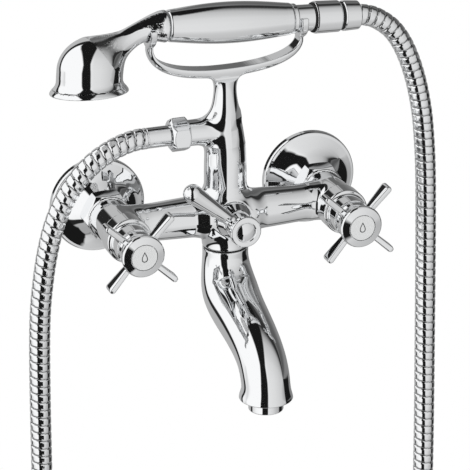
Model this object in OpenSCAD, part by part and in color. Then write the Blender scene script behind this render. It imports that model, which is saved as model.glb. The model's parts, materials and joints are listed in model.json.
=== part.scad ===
// Bath shower mixer: two cross handles, a lever diverter, a swivel spout and a handset on a cradle.
// Millimetres. X runs along the wall, Y into the wall, Z up.
// The origin lies on the wall, midway between the two inlets.

/* [Wall connection] */
// Distance between the two inlet axes
inlet_spacing = 150; // [140:1:165]
// Distance from the wall to the body's axis
body_depth = 45; // [44:0.5:55]
// Diameter of a wall flange
flange_d = 65; // [58:1:72]
// Distance from the wall to the neck of a flange
flange_h = 16; // [14:0.5:17]
// Thickness of a flange's pressed wall
flange_wall = 1.4; // [1:0.1:2]
// Diameter of an inlet tail, a half-inch pipe thread
tail_d = 20.8; // [20:0.1:21]
// Length of an inlet tail inside the wall
tail_len = 14; // [10:1:20]
// Bore of the water way at an inlet
inlet_bore_d = 14; // [10:0.5:15]
// Width across the flats of a union nut
union_af = 30; // [30:0.5:34]
// Length of a union nut
union_len = 12; // [11:0.5:13]
// Diameter of the threaded spigot under a union nut
inlet_thread_d = 26.4; // [25:0.1:26.8]
// Thickness of a union washer
union_washer_t = 2; // [1:0.5:2.5]

/* [Body] */
// Diameter of the bar at its middle
bar_mid_d = 27.6; // [26:0.2:28.4]
// Diameter of the bar at its ends
bar_end_d = 25; // [22:0.2:25.4]
// Diameter of an end barrel
barrel_d = 28; // [27.6:0.2:31]
// Distance from the body's axis to the front of a barrel
barrel_reach = 15; // [14:0.5:18]
// Diameter of the centre boss
boss_d = 31; // [30:0.2:32]
// Height of the centre boss above the body's axis
boss_top = 20; // [18:0.5:24]
// Depth of the centre boss below the body's axis
boss_drop = 24; // [23.5:0.5:30]
// Diameter of the water way along the bar
passage_d = 12; // [8:0.5:13]

/* [Valves] */
// Diameter of a headwork inside its barrel
headwork_d = 20; // [18:0.2:22]
// Width across the flats of a headwork's collar
headwork_af = 22; // [20:0.5:23]
// Diameter of a headwork's neck
headwork_neck_d = 16; // [12:0.5:17]
// Depth of the chamber that a headwork fills
chamber_len = 22; // [20:0.5:24]
// Diameter of a ceramic disc
disc_d = 15; // [12:0.5:16]
// Thickness of a ceramic disc
disc_t = 3; // [2:0.5:4]
// Diameter of a valve spindle
spindle_d = 8; // [6:0.5:9]
// Diameter of a bonnet's skirt
bonnet_d = 30.6; // [29:0.2:34]
// Diameter of a bonnet's neck
bonnet_neck_d = 26; // [22:0.2:27]
// Length of a bonnet
bonnet_len = 25; // [22:0.5:30]

/* [Cross handles] */
// Diameter of a handle's hub behind its face
handle_hub_d = 24.4; // [20:0.2:26]
// Diameter of a handle's face
handle_face_d = 28.8; // [26:0.2:32]
// Length of a handle along its axis
handle_len = 16.7; // [15:0.1:20]
// Distance from the axis to the tip of an arm
arm_reach = 32; // [26:0.5:36]
// Width of an arm seen from the front
arm_w = 4.6; // [3:0.1:6]
// Depth of an arm at the hub
arm_root_depth = 5.6; // [4:0.1:6]
// Turn of the arms from +X, in degrees
arm_turn = 48; // [0:1:90]
// Depth of an arm near its tip
arm_tip_depth = 10.4; // [6:0.1:11]
// Diameter of an index button
button_d = 17.6; // [14:0.2:19]
// Thickness of an index button
button_t = 2.4; // [1.6:0.1:3]

/* [Diverter] */
// Height of the diverter's axis above the body's axis
diverter_z = 1; // [0:0.1:1.2]
// Diameter of the diverter boss
diverter_boss_d = 24; // [22:0.2:26]
// Distance from the body's axis to the front of the diverter boss
diverter_reach = 14.5; // [14.2:0.1:17]
// Diameter of the diverter cartridge
cartridge_d = 16.4; // [14:0.1:17]
// Length of the diverter bonnet
diverter_bonnet_len = 11; // [10:0.5:14]
// Diameter of the lever's hub
lever_hub_d = 17; // [15:0.2:19]
// Diameter of the face of the lever's hub
lever_face_d = 21; // [19:0.2:24]
// Length of the lever's hub
lever_hub_len = 15.2; // [14.5:0.1:18]
// Distance from the axis to the centre of the lever's round tip
lever_len = 43.5; // [36:0.5:46]
// Diameter of the lever near its hub
lever_root_d = 7.6; // [6:0.2:9]
// Diameter of the lever's round tip
lever_tip_d = 13; // [10:0.2:15]
// Direction in which the lever points, in degrees from +X
lever_angle = 140; // [120:1:145]
// Diameter of the diverter's cap
cap_d = 12.4; // [10:0.2:14]

/* [Spout] */
// Diameter of the spout at its top
spout_top_d = 30.6; // [29:0.2:32]
// Diameter of the spout at its knee
spout_knee_d = 37.2; // [34:0.2:39]
// Diameter of the spout before its outlet
spout_end_d = 32; // [30:0.2:36]
// Diameter of the spout's lip
spout_lip_d = 35.4; // [33:0.2:40]
// Distance from the swivel axis to the outlet axis
spout_reach = 78.4; // [72:0.2:95]
// Distance from the top of the spout to its lip
spout_drop = 75.5; // [72:0.5:95]
// Wall of the spout
spout_wall = 3; // [2.4:0.1:3.4]
// Diameter of the spigot that the spout swivels on
spigot_d = 19; // [17:0.2:20]
// Outer diameter of the aerator
aerator_d = 23; // [21:0.2:24]
// Length of the aerator that stands out of the lip
aerator_drop = 8.5; // [4:0.5:10]

/* [Riser and cradle] */
// Height of the riser above the centre boss
riser_h = 72; // [66:0.5:80]
// Diameter of the riser at its base
riser_base_d = 28; // [26:0.2:30]
// Diameter of the riser's neck under the cradle
riser_neck_d = 14.6; // [14:0.2:18]
// Height of the hose branch above the centre boss
branch_h = 39; // [34:0.5:44]
// Diameter of the hose branch
branch_d = 17; // [16.8:0.1:18]
// Distance from the riser's axis to the hose nut
branch_len = 26; // [23:0.5:28]
// Width of the cradle from front to back
cradle_w = 10.6; // [8:0.2:13]
// Thickness of the cradle at its middle
cradle_t = 6.6; // [5:0.2:8]
// Distance from the riser's axis to the head fork
head_fork_x = 52; // [51:0.1:52.6]
// Distance from the riser's axis to the tail fork
tail_fork_x = 51.6; // [51.4:0.1:56]
// Width of a fork along the handset
fork_w = 4.6; // [3:0.1:5.4]
// Thickness of a fork's prongs
prong_t = 2.8; // [2:0.1:4]

/* [Handset] */
// Height of the handset's axis over the body's axis
handset_z = 132; // [128:0.5:140]
// Roll of the handset about its axis, the spray turned forwards, in degrees
handset_roll = 8; // [0:1:10]
// Tilt of the handset, hose end down, in degrees
handset_tilt = 3.2; // [0:0.1:4]
// Length of the grip
grip_len = 85.4; // [80:0.2:85.6]
// Diameter of the grip at its middle
grip_mid_d = 27; // [24:0.2:29]
// Diameter of the grip at its ends
grip_end_d = 20.4; // [19.4:0.2:22]
// Diameter of the handset's tail
tail_neck_d = 17.4; // [17:0.1:18]
// Diameter of the head's bulb
head_d = 40; // [38:0.5:44]
// Diameter of the head's lip
head_lip_d = 51; // [49:0.5:58]
// Distance from the bulb's centre down to the lip
head_drop = 13.5; // [12:0.5:18]
// Wall of the head
head_wall = 2.2; // [1.6:0.1:2.6]
// Thickness of the spray plate
plate_t = 2.4; // [1.6:0.1:3]

/* [Hose and its fittings] */
// Outer diameter of the hose over its ribs
hose_d = 14; // [13:0.1:14.4]
// Bore of the hose
hose_bore_d = 8; // [6:0.2:8.6]
// Number of ribs on the hose
hose_ribs = 200; // [80:10:200]
// Diameter of the plain tail at each end of the hose
hose_tail_d = 10.6; // [10:0.1:10.8]
// Diameter of the threads that the hose screws on
hose_thread_d = 16.6; // [16:0.1:16.7]
// Width across the flats of the hose nut
hose_nut_af = 20.5; // [20:0.1:24]
// Length of the hose nut
hose_nut_len = 12.6; // [12:0.1:16]
// Diameter of the hose sleeve
sleeve_d = 13.6; // [12.6:0.1:14]
// Diameter of the cone nut at the handset
cone_nut_d = 21.4; // [20:0.2:25]
// Diameter of the hose collar where the hose leaves it
collar_end_d = 19; // [16:0.2:20]

/* [Hidden] */

// Radial clearance of a turned fit
fit = 0.05;
// Gap between pieces that move past each other
seam = 0.3;
// Circles finer than any face that shows
$fn = 64;

// Depths from the wall along an inlet
union_lip = 2.5;
union_collar = 2.5;
inlet_x = inlet_spacing / 2;
nut_front = flange_h + union_len;
collar_back = flange_h + union_lip;
washer_back = collar_back + union_collar;
spigot_back = washer_back + union_washer_t;
barrel_back = nut_front + 0.5;

// Depths from the wall along a valve
barrel_front = body_depth + barrel_reach;
chamber_back = barrel_front - chamber_len;
seal_t = 2;
disc_gap = 0.1;
headwork_back = chamber_back + seal_t;
moving_disc_back = headwork_back + disc_t + disc_gap;
spindle_back = moving_disc_back + disc_t;
disc_room = 0.9;
headwork_collar_t = 4;
bonnet_front = barrel_front + bonnet_len;
headwork_front = bonnet_front - 5;
handle_back = bonnet_front + seam;
handle_front = handle_back + handle_len;
button_back = handle_front - button_t;
screw_head_t = 2;
screw_head_d = 8;
screw_d = 4;
screw_seat = button_back - screw_head_t;
handle_web = 3.5;
spindle_front = screw_seat - handle_web;
screw_bite = 7;
arm_mid = handle_back + 0.44 * handle_len;

// Depths from the wall along the diverter
diverter_front = body_depth + diverter_reach;
cartridge_back = body_depth - 6;
rotor_t = 4;
rotor_d = cartridge_d - 2.8;
rotor_back = cartridge_back + 3;
rotor_front = rotor_back + rotor_t;
cartridge_collar_t = 3;
diverter_bonnet_front = diverter_front + diverter_bonnet_len;
lever_back = diverter_bonnet_front + seam;
lever_front = lever_back + lever_hub_len;
cap_t = 1.2;
cap_back = lever_front - cap_t - 0.4;
diverter_screw_d = 3.2;
diverter_head_d = 6;
diverter_head_t = 1.9;
diverter_seat = cap_back - diverter_head_t - 0.1;
diverter_spindle_d = 7;
diverter_spindle_front = diverter_seat - 2.4;
lever_mid = lever_back + 0.37 * lever_hub_len;

// Heights in the centre boss
riser_spigot_d = 20;
riser_seal_t = 1;
riser_foot = boss_top - 9;
riser_top = boss_top + riser_h;
branch_z = boss_top + branch_h;
riser_bore_d = 12;
spigot_top = -boss_drop + 15;
spout_top = -boss_drop - seam;
spigot_tail = 4;
o_ring_z = -boss_drop + 9;
o_ring_d = 1.8;
screw_groove_z = -boss_drop + 4.5;
screw_groove_t = 4.6;
screw_groove_d = spigot_d - 3;
spout_screw_d = 4;
outlet_z = spout_top - spout_drop;
aerator_top = outlet_z + 7;
aerator_bottom = outlet_z - aerator_drop;
aerator_wall = 1.8;
aerator_washer_t = 2;
insert_t = 3;
insert_bottom = aerator_bottom + 1;

// Places along the hose branch, from the riser's axis
branch_thread = 5;
hose_washer_t = 2;
sleeve_rim_t = 2;
branch_end = branch_len + branch_thread;
sleeve_back = branch_end + hose_washer_t;
sleeve_neck = sleeve_back + sleeve_rim_t;
hose_nut_end = branch_len + hose_nut_len;
sleeve_end = 54.5;
hose_tail_len = hose_d;

// Places along the handset's axis, from the riser's axis
grip_start = -40;
grip_end = grip_start + grip_len;
tail_shoulder = 61;
tail_thread = 10;
core_d = 10;
core_wall = 1.2;
cone_nut_end = 79;
collar_start = 81;
collar_end = 92.4;
tail_end = tail_shoulder + tail_thread;
collar_rim = tail_end + hose_washer_t;
collar_neck = collar_rim + sleeve_rim_t;
collar_neck_d = 12.4;

// Head: centre of the bulb, and the neck's centre line and radius in the handset's own frame
head_x = -93.2;
head_z = -26.7;
lip_t = 1.8;
neck_line = [
    [grip_start - 0.3, 0, grip_end_d / 2 + 0.6], [-44, -0.1, 10.2], [-49, -0.7, 8.9], [-54.5, -1.9, 7.5],
    [-61, -4.4, 6.9], [-68, -8.2, 7.5], [-76, -12.6, 9.6], [-84, -18.5, 13.2]
];
neck_bore_d = 10.6;
neck_wall = 2;

// Forks: their seats follow the neck and the tail of the handset
head_seat_r = 9.2;
tail_seat_r = tail_neck_d / 2 + seam;
head_seat_drop = 0.8;
head_prong_rise = 1.2;
tail_prong_rise = 3;
function axis_z(x) = handset_z - x * tan(handset_tilt);
head_seat_z = axis_z(-head_fork_x) - head_seat_drop;
tail_seat_z = axis_z(tail_fork_x);
cradle_z = riser_top + 3.4 + cradle_t / 2;

// Route of the hose in the plane of the riser, as [x, z]: from the branch, down, round and up to the handset
hose_route = [
    [-40.5, 59], [-54.5, 59], [-62, 58.6], [-70, 56.8], [-80, 52.8], [-91, 46], [-101, 36.5], [-110, 24],
    [-117, 9], [-122, -8], [-126, -30], [-129, -60], [-130, -110], [-130, -190], [-130, -290], [-130, -380],
    [-120, -433], [-90, -478], [-45, -507], [8, -518], [61, -507], [106, -478], [136, -433], [146, -380],
    [146, -290], [146, -190], [145, -100], [144, -30], [142.8, 14], [140.4, 45], [137.8, 62], [134.2, 77.5],
    [129.4, 92], [123.4, 104.8], [116, 115], [106.5, 122.4], [99.2, 125.6], [92.3, 126.8], [78.3, 127.6]
];

// Points of an arc round a centre, from one angle to another
function arc(cx, cy, r, from, to, steps) =
    [for (k = [0 : steps]) let (a = from + (to - from) * k / steps) [cx + r * cos(a), cy + r * sin(a)]];

// One stretch of a smooth curve through b and c, with a and d beside them
function stretch(a, b, c, d, t) =
    0.5 * (2 * b + (c - a) * t + (2 * a - 5 * b + 4 * c - d) * t * t + (3 * b - a - 3 * c + d) * t * t * t);
// Smooth curve through all points, with a number of steps between each two
function smooth(p, steps) = let (n = len(p) - 1) concat(
    [for (i = [0 : n - 1], k = [0 : steps - 1])
        stretch(i == 0 ? 2 * p[0] - p[1] : p[i - 1], p[i], p[i + 1],
            i == n - 1 ? 2 * p[n] - p[n - 1] : p[i + 2], k / steps)],
    [p[n]]);
// Unit direction of a line of points at one of them
function heading(p, i) =
    let (v = p[min(i + 1, len(p) - 1)] - p[max(i - 1, 0)], d = [v[0], v[1]]) d / norm(d);
// Section of [across, sideways] points, stood square to a heading at a place in the XY plane
function stand(place, dir, section) = [for (q = section)
    [place[0] - dir[1] * q[0], place[1] + dir[0] * q[0], q[1]]];
function round_section(r, sides) = [for (j = [0 : sides - 1])
    [r * cos(360 * j / sides), r * sin(360 * j / sides)]];
// Rings along a line of [x, y, radius] points
function rings(line, sides) = [for (i = [0 : len(line) - 1])
    stand(line[i], heading(line, i), round_section(line[i][2], sides))];

function side_faces(rows, sides, first, inward) = [for (i = [0 : rows - 2], j = [0 : sides - 1])
    let (a = first + i * sides + j, b = first + i * sides + (j + 1) % sides, c = a + sides, d = b + sides)
    each inward ? [[a, b, c], [b, d, c]] : [[a, c, b], [b, c, d]]];
function end_faces(outer, inner, sides, last) = [for (j = [0 : sides - 1])
    let (a = outer + j, b = outer + (j + 1) % sides, c = inner + j, d = inner + (j + 1) % sides)
    each last ? [[a, c, b], [b, c, d]] : [[a, b, c], [b, d, c]]];

// Solid through a row of rings
module loft(rows) {
    sides = len(rows[0]);
    last = (len(rows) - 1) * sides;
    polyhedron([for (row = rows) each row], concat(
        side_faces(len(rows), sides, 0, false),
        [[for (j = [0 : sides - 1]) j]],
        [[for (j = [sides - 1 : -1 : 0]) last + j]]));
}

// Tube through rows of outer and inner rings with the same number of sides
module tube(outer, inner) {
    sides = len(outer[0]);
    first = len(outer) * sides;
    polyhedron(concat([for (row = outer) each row], [for (row = inner) each row]), concat(
        side_faces(len(outer), sides, 0, false),
        side_faces(len(inner), sides, first, true),
        end_faces(0, first, sides, false),
        end_faces(first - sides, first + (len(inner) - 1) * sides, sides, true)));
}

// Turned piece from a profile of [radius, height] points
module turned(profile) rotate_extrude() polygon(profile);
// Plain ring from one height to another
module washer(inner_d, outer_d, from, to) difference() {
    translate([0, 0, from]) cylinder(d = outer_d, h = to - from);
    translate([0, 0, from - 1]) cylinder(d = inner_d, h = to - from + 2);
}
// Hole from one height to another
module hole(d, from, to) translate([0, 0, from]) cylinder(d = d, h = to - from);
// Hexagon with turned corners from one height to another
module hexagon(af, from, to) intersection() {
    corner_r = af / 2 / cos(30);
    translate([0, 0, from]) cylinder(r = corner_r, h = to - from, $fn = 6);
    turned([[0, from], [af / 2, from], [corner_r, from + 1], [corner_r, to - 1], [af / 2, to], [0, to]]);
}

// Frames: heights of a child become depths from the wall, or distances along X
module from_wall(x, z) translate([x, 0, z]) rotate([90, 0, 0]) children();
module at_riser() translate([0, -body_depth, 0]) children();
module along_branch() translate([0, -body_depth, branch_z]) rotate([0, -90, 0]) children();
module on_handset() translate([0, -body_depth, handset_z]) rotate([0, handset_tilt, 0])
    rotate([-handset_roll, 0, 0]) children();
module along_handset() on_handset() rotate([0, 90, 0]) children();
// Plane frames: a child's XY plane becomes the plane of the riser, or the plane of the spout
module in_riser_plane() at_riser() rotate([90, 0, 0]) children();
module in_spout_plane() at_riser() rotate([90, 0, -90]) children();

// Wall connection
module wall_flange(side) {
    rim_r = flange_d / 2;
    neck_r = tail_d / 2 + fit;
    rim_h = 3;
    hollow = 0.8;
    foot_r = rim_r - 4.5;
    foot_h = rim_h + 1.2;
    brow_r = neck_r + 5;
    function cone(down) = [for (k = [0 : 8]) let (t = k / 8) [foot_r + (brow_r - foot_r) * t,
        foot_h + (flange_h - 1 - foot_h) * t - 4 * hollow * t * (1 - t) - down]];
    inside = cone(flange_wall * 1.3);
    from_wall(side * inlet_x, 0) color("gainsboro") turned(concat(
        [[rim_r - flange_wall, 0], [rim_r, 0], [rim_r, rim_h - 1.4], [rim_r - 0.7, rim_h - 0.6]],
        [[foot_r + 0.5, rim_h + 0.2]],
        cone(0),
        [[neck_r + 4, flange_h], [neck_r, flange_h], [neck_r, flange_h - flange_wall]],
        [for (k = [8 : -1 : 0]) inside[k]],
        [[rim_r - flange_wall, rim_h - flange_wall * 1.3]]));
}
module wall_union(side) from_wall(side * inlet_x, 0) color("darkkhaki") difference() {
    shank_r = tail_d / 2 - 0.2;
    turned([[0, -tail_len], [tail_d / 2 - 1, -tail_len], [tail_d / 2, -tail_len + 1], [tail_d / 2, 0],
        [shank_r, 0], [shank_r, collar_back], [inlet_thread_d / 2 - 0.3, collar_back],
        [inlet_thread_d / 2 - 0.3, washer_back], [0, washer_back]]);
    hole(inlet_bore_d, -tail_len - 1, washer_back + 1);
}
module union_nut(side) from_wall(side * inlet_x, 0) color("gainsboro") difference() {
    hexagon(union_af, flange_h, nut_front);
    hole(tail_d + 4 * fit, flange_h - 1, collar_back + 1);
    hole(inlet_thread_d + 2 * fit, collar_back, nut_front + 1);
}
module union_washers() for (side = [-1, 1]) from_wall(side * inlet_x, 0) color("dimgray")
    washer(inlet_bore_d, inlet_thread_d - 0.6, washer_back, spigot_back);

// Body casting
module barrel() turned(concat(
    [[0, spigot_back], [inlet_thread_d / 2, spigot_back], [inlet_thread_d / 2, barrel_back],
        [barrel_d / 2 + 0.8, barrel_back], [barrel_d / 2 + 0.8, barrel_back + 1.6],
        [barrel_d / 2 - 0.6, barrel_back + 2], [barrel_d / 2, barrel_back + 3]],
    arc(barrel_d / 2 - 2, barrel_front - 2, 2, 0, 90, 5),
    [[0, barrel_front]]));
module bar() {
    foot = inlet_x - barrel_d / 2;
    foot_r = (bar_end_d + barrel_d) / 4;
    half = [[bar_mid_d / 2, boss_d / 2 + 5], [bar_end_d / 2, foot - 10], [bar_end_d / 2 + 0.3, foot - 4],
        [foot_r, foot], [foot_r, inlet_x]];
    turned(concat([[0, -inlet_x]], [for (k = [4 : -1 : 0]) [half[k][0], -half[k][1]]], half, [[0, inlet_x]]));
}
module mixer_body() color("lightgray") difference() {
    union() {
        for (side = [-1, 1]) from_wall(side * inlet_x, 0) barrel();
        at_riser() rotate([0, 90, 0]) bar();
        at_riser() turned([[0, -boss_drop], [boss_d / 2 - 0.6, -boss_drop], [boss_d / 2, -boss_drop + 1],
            [boss_d / 2, -boss_drop + 5], [riser_base_d / 2 + 0.5, -bar_mid_d / 2],
            [riser_base_d / 2 + 0.5, boss_top - 1], [riser_base_d / 2, boss_top], [0, boss_top]]);
        from_wall(0, diverter_z) turned([[0, body_depth], [diverter_boss_d / 2, body_depth],
            [diverter_boss_d / 2, diverter_front - 1], [diverter_boss_d / 2 - 0.6, diverter_front],
            [0, diverter_front]]);
    }
    for (side = [-1, 1]) from_wall(side * inlet_x, 0) {
        hole(inlet_bore_d, spigot_back - 1, chamber_back + 1);
        hole(headwork_d + 2 * fit, chamber_back, barrel_front + 1);
    }
    at_riser() rotate([0, 90, 0]) hole(passage_d, -inlet_x, inlet_x);
    from_wall(0, diverter_z) hole(cartridge_d + 2 * fit, cartridge_back, diverter_front + 1);
    at_riser() {
        hole(riser_spigot_d + 2 * fit, riser_foot - riser_seal_t, boss_top + 1);
        hole(spigot_d + 2 * fit, -boss_drop - 1, spigot_top + 0.5);
        hole(riser_bore_d - 1, spigot_top - 1, boss_top);
    }
    from_wall(0, screw_groove_z) hole(spout_screw_d + 2 * fit, body_depth - boss_d, body_depth);
}

// Valves
module headwork(side) from_wall(side * inlet_x, 0) color("darkkhaki") difference() {
    union() {
        hole(headwork_d, headwork_back, barrel_front);
        hexagon(headwork_af, barrel_front, barrel_front + headwork_collar_t);
        hole(headwork_neck_d, barrel_front, headwork_front);
    }
    hole(disc_d + 0.4, headwork_back - 1, spindle_back + disc_room);
    hole(spindle_d + 2 * fit, headwork_back, headwork_front + 1);
}
module seat_seals() for (side = [-1, 1]) from_wall(side * inlet_x, 0) color("dimgray")
    washer(disc_d - 4, headwork_d - 0.4, chamber_back, headwork_back);
// Ceramic disc with the two sector ports of a quarter-turn valve
module ceramic_disc(from) difference() {
    hole(disc_d, from, from + disc_t);
    for (turn = [45, 225]) rotate([0, 0, turn]) translate([disc_d * 0.28, 0, 0])
        hole(disc_d * 0.26, from - 1, from + disc_t + 1);
}
module fixed_discs() for (side = [-1, 1]) from_wall(side * inlet_x, 0) color("white")
    ceramic_disc(headwork_back);
module moving_disc(side) from_wall(side * inlet_x, 0) color("white") ceramic_disc(moving_disc_back);
module spindle(side) from_wall(side * inlet_x, 0) color("darkkhaki") difference() {
    hole(spindle_d, spindle_back, spindle_front);
    hole(screw_d + 2 * fit, spindle_front - screw_bite - 1, spindle_front + 1);
}
module bonnet(side) {
    skirt_r = bonnet_d / 2;
    neck_r = bonnet_neck_d / 2;
    room_r = headwork_af / 2 / cos(30) + seam;
    room_front = barrel_front + headwork_collar_t;
    skirt_front = barrel_front + 12;
    from_wall(side * inlet_x, 0) color("gainsboro") difference() {
        turned(concat(
            [[0, barrel_front], [skirt_r - 0.5, barrel_front], [skirt_r, barrel_front + 0.5]],
            arc(skirt_r - 1.2, skirt_front - 1.2, 1.2, 0, 80, 4),
            arc(neck_r + 1.5, skirt_front + 2, 1.5, 250, 180, 4),
            [[neck_r, bonnet_front - 0.6], [neck_r - 0.6, bonnet_front], [0, bonnet_front]]));
        hole(2 * room_r, barrel_front - 1, room_front);
        hole(headwork_neck_d + 2 * fit, barrel_front, bonnet_front + 1);
    }
}

// Cross handles
module handle_arm() {
    root = handle_hub_d / 4;
    tip = arm_tip_depth / 2;
    round_r = 2.4;
    intersection() {
        rotate([90, 0, 0]) linear_extrude(height = 2 * arm_w, center = true) polygon(concat(
            [[root, arm_mid - arm_root_depth / 2]],
            arc(arm_reach - round_r, arm_mid - tip + round_r, round_r, 280, 360, 5),
            arc(arm_reach - round_r, arm_mid + tip - round_r, round_r, 0, 80, 5),
            [[root, arm_mid + arm_root_depth / 2]]));
        half_w = arm_w / 2;
        translate([0, 0, arm_mid - arm_tip_depth]) linear_extrude(height = 2 * arm_tip_depth) polygon(concat(
            [[root, -half_w * 0.85]],
            arc(arm_reach - half_w, 0, half_w, -90, 90, 8),
            [[root, half_w * 0.85]]));
    }
}
module handle(side) {
    hub_r = handle_hub_d / 2;
    face_r = handle_face_d / 2;
    pocket_r = button_d / 2 + fit;
    from_wall(side * inlet_x, 0) color("gainsboro") difference() {
        union() {
            turned(concat(
                [[0, handle_back], [hub_r - 0.8, handle_back], [hub_r, handle_back + 0.8]],
                [[hub_r - 0.6, arm_mid - 3.4], [hub_r, arm_mid], [face_r - 0.4, handle_front - 5]],
                [[face_r, handle_front - 4], [face_r, handle_front - 2.4], [face_r - 0.9, handle_front - 1.5]],
                [[pocket_r, handle_front], [0, handle_front]]));
            for (k = [0 : 3]) rotate([0, 0, arm_turn + 90 * k]) handle_arm();
        }
        hole(spindle_d + 2 * fit, handle_back - 1, spindle_front);
        hole(screw_d + 2 * fit, spindle_front - 1, screw_seat + 1);
        hole(screw_head_d + 0.4, screw_seat, button_back + 1);
        hole(2 * pocket_r, button_back, handle_front + 1);
    }
}
module index_button(side) from_wall(side * inlet_x, 0) color("whitesmoke") turned([[0, button_back],
    [button_d / 2, button_back], [button_d / 2, handle_front - 0.3], [button_d / 2 - 0.3, handle_front],
    [0, handle_front]]);
module handle_screw(side) from_wall(side * inlet_x, 0) color("silver") difference() {
    union() {
        hole(screw_d, spindle_front - screw_bite, screw_seat);
        hole(screw_head_d, screw_seat, screw_seat + screw_head_t - 0.1);
    }
    translate([-screw_head_d / 4, -0.5, screw_seat + 0.8]) cube([screw_head_d / 2, 1, screw_head_t]);
}

// Diverter
module diverter_cartridge() from_wall(0, diverter_z) color("darkkhaki") difference() {
    union() {
        hole(cartridge_d, cartridge_back, diverter_front);
        hole(cartridge_d + 3, diverter_front, diverter_front + cartridge_collar_t);
        hole(diverter_spindle_d + 5, diverter_front, diverter_bonnet_front - 2);
    }
    hole(rotor_d + 0.6, cartridge_back - 1, rotor_front + 0.4);
    hole(diverter_spindle_d + 2 * fit, cartridge_back, diverter_bonnet_front);
}
module diverter_bonnet() from_wall(0, diverter_z) color("gainsboro") difference() {
    skirt_r = diverter_boss_d / 2;
    turned(concat(
        [[0, diverter_front], [skirt_r - 0.4, diverter_front], [skirt_r, diverter_front + 0.4]],
        arc(skirt_r - 1.4, diverter_front + 3, 1.4, 0, 70, 4),
        [[lever_hub_d / 2 + 1.2, diverter_bonnet_front - 1], [lever_hub_d / 2 + 0.6, diverter_bonnet_front],
            [0, diverter_bonnet_front]]));
    hole(cartridge_d + 3 + 2 * fit, diverter_front - 1, diverter_front + cartridge_collar_t);
    hole(diverter_spindle_d + 5 + 2 * fit, diverter_front, diverter_bonnet_front + 1);
}
module lever_arm() {
    tip_r = lever_tip_d / 2;
    root_r = lever_root_d / 2;
    root = lever_hub_d / 2;
    foot = diverter_spindle_d / 2 + 1;
    turned(concat(
        [[0, foot], [root_r + 0.4, foot], [root_r + 0.4, root + 1], [root_r - 0.2, root + 2.4]],
        [[root_r, root + 5]],
        arc(0, lever_len, tip_r, -8, 90, 9)));
}
module diverter_lever() {
    hub_r = lever_hub_d / 2;
    face_r = lever_face_d / 2;
    from_wall(0, diverter_z) color("gainsboro") difference() {
        union() {
            turned(concat(
                [[0, lever_back], [hub_r - 0.5, lever_back], [hub_r, lever_back + 0.5]],
                [[hub_r, lever_front - 5.6], [face_r, lever_front - 3.4]],
                arc(face_r - 1, lever_front - 1, 1, 0, 90, 4),
                [[cap_d / 2 + 0.9, lever_front], [cap_d / 2 + 0.6, lever_front - 0.4]],
                [[0, lever_front - 0.4]]));
            translate([0, 0, lever_mid]) rotate([0, 0, lever_angle]) rotate([0, 90, 0]) lever_arm();
        }
        hole(diverter_spindle_d + 2 * fit, lever_back - 1, diverter_spindle_front);
        hole(diverter_screw_d + 2 * fit, diverter_spindle_front - 1, diverter_seat + 1);
        hole(diverter_head_d + 0.4, diverter_seat, cap_back + 1);
        hole(cap_d + 2 * fit, cap_back, lever_front + 1);
    }
}
module diverter_cap() {
    rim_r = cap_d / 2;
    crown = 1.4;
    from_wall(0, diverter_z) color("whitesmoke") turned(concat(
        [[0, cap_back], [rim_r, cap_back]],
        [for (k = [6 : -1 : 0]) let (t = k / 6) [rim_r * t, cap_back + cap_t + crown * (1 - t * t)]]));
}
module diverter_screw() from_wall(0, diverter_z) color("silver") difference() {
    union() {
        hole(diverter_screw_d, diverter_spindle_front - 6, diverter_seat);
        hole(diverter_head_d, diverter_seat, diverter_seat + diverter_head_t);
    }
    translate([-1.6, -0.4, diverter_seat + 0.9]) cube([3.2, 0.8, diverter_head_t]);
}
module diverter_spindle() from_wall(0, diverter_z) color("darkkhaki") difference() {
    union() {
        hole(rotor_d, rotor_back, rotor_front);
        hole(diverter_spindle_d, rotor_front - 1, diverter_spindle_front);
    }
    hole(diverter_screw_d + 2 * fit, diverter_spindle_front - 7, diverter_spindle_front + 1);
}

// Riser
module riser_column() color("lightgray") difference() {
    union() {
        base_r = riser_base_d / 2;
        neck_r = riser_neck_d / 2;
        swell = base_r - neck_r;
        at_riser() turned(concat(
            [[0, riser_foot], [riser_spigot_d / 2, riser_foot], [riser_spigot_d / 2, boss_top],
                [base_r - 0.5, boss_top], [base_r, boss_top + 0.8]],
            [for (k = [1 : 12]) let (t = k / 12) [neck_r + swell * (0.5 + 0.5 * cos(180 * pow(t, 1.5))),
                boss_top + 4 + (riser_h - 6) * t]],
            [[neck_r + 0.5, riser_top], [0, riser_top]]));
        along_branch() turned(concat(
            [[0, 0], [branch_d / 2 + 1.4, riser_base_d / 2 - 2]],
            arc(branch_d / 2 + 6, branch_len - 2, 6, 222, 180, 4),
            [[branch_d / 2, branch_len], [hose_thread_d / 2, branch_len]],
            [[hose_thread_d / 2, branch_end - 0.6], [hose_thread_d / 2 - 0.6, branch_end], [0, branch_end]]));
        at_riser() hole(8, riser_top - 1, riser_top + 5);
    }
    at_riser() hole(riser_bore_d, riser_foot - 1, branch_z + 5);
    along_branch() hole(10, 0, branch_end + 1);
}
module riser_seal() at_riser() color("dimgray")
    washer(riser_bore_d, riser_spigot_d - 0.4, riser_foot - riser_seal_t, riser_foot);
module check_valve() along_branch() color("whitesmoke") difference() {
    union() {
        hole(9.9, branch_end - 11, branch_end - 1);
        hole(8, branch_end - 14, branch_end - 10);
    }
    hole(5, branch_end - 15, branch_end);
}

// Cradle: line from the middle to one fork, as shares of the way out and of the way up
cradle_rise = [
    [0, 0], [0.27, 0.02], [0.54, 0.1], [0.74, 0.23], [0.875, 0.39], [0.96, 0.58], [1, 0.79], [1, 1]
];
function cradle_side(x, seat_z, seat_r) =
    let (top = seat_z - seat_r - prong_t / 2) [for (s = cradle_rise)
        [x * s[0], cradle_z + (top - cradle_z) * s[1], cradle_t / 2 - (cradle_t - prong_t) / 2 * s[1]]];
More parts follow.
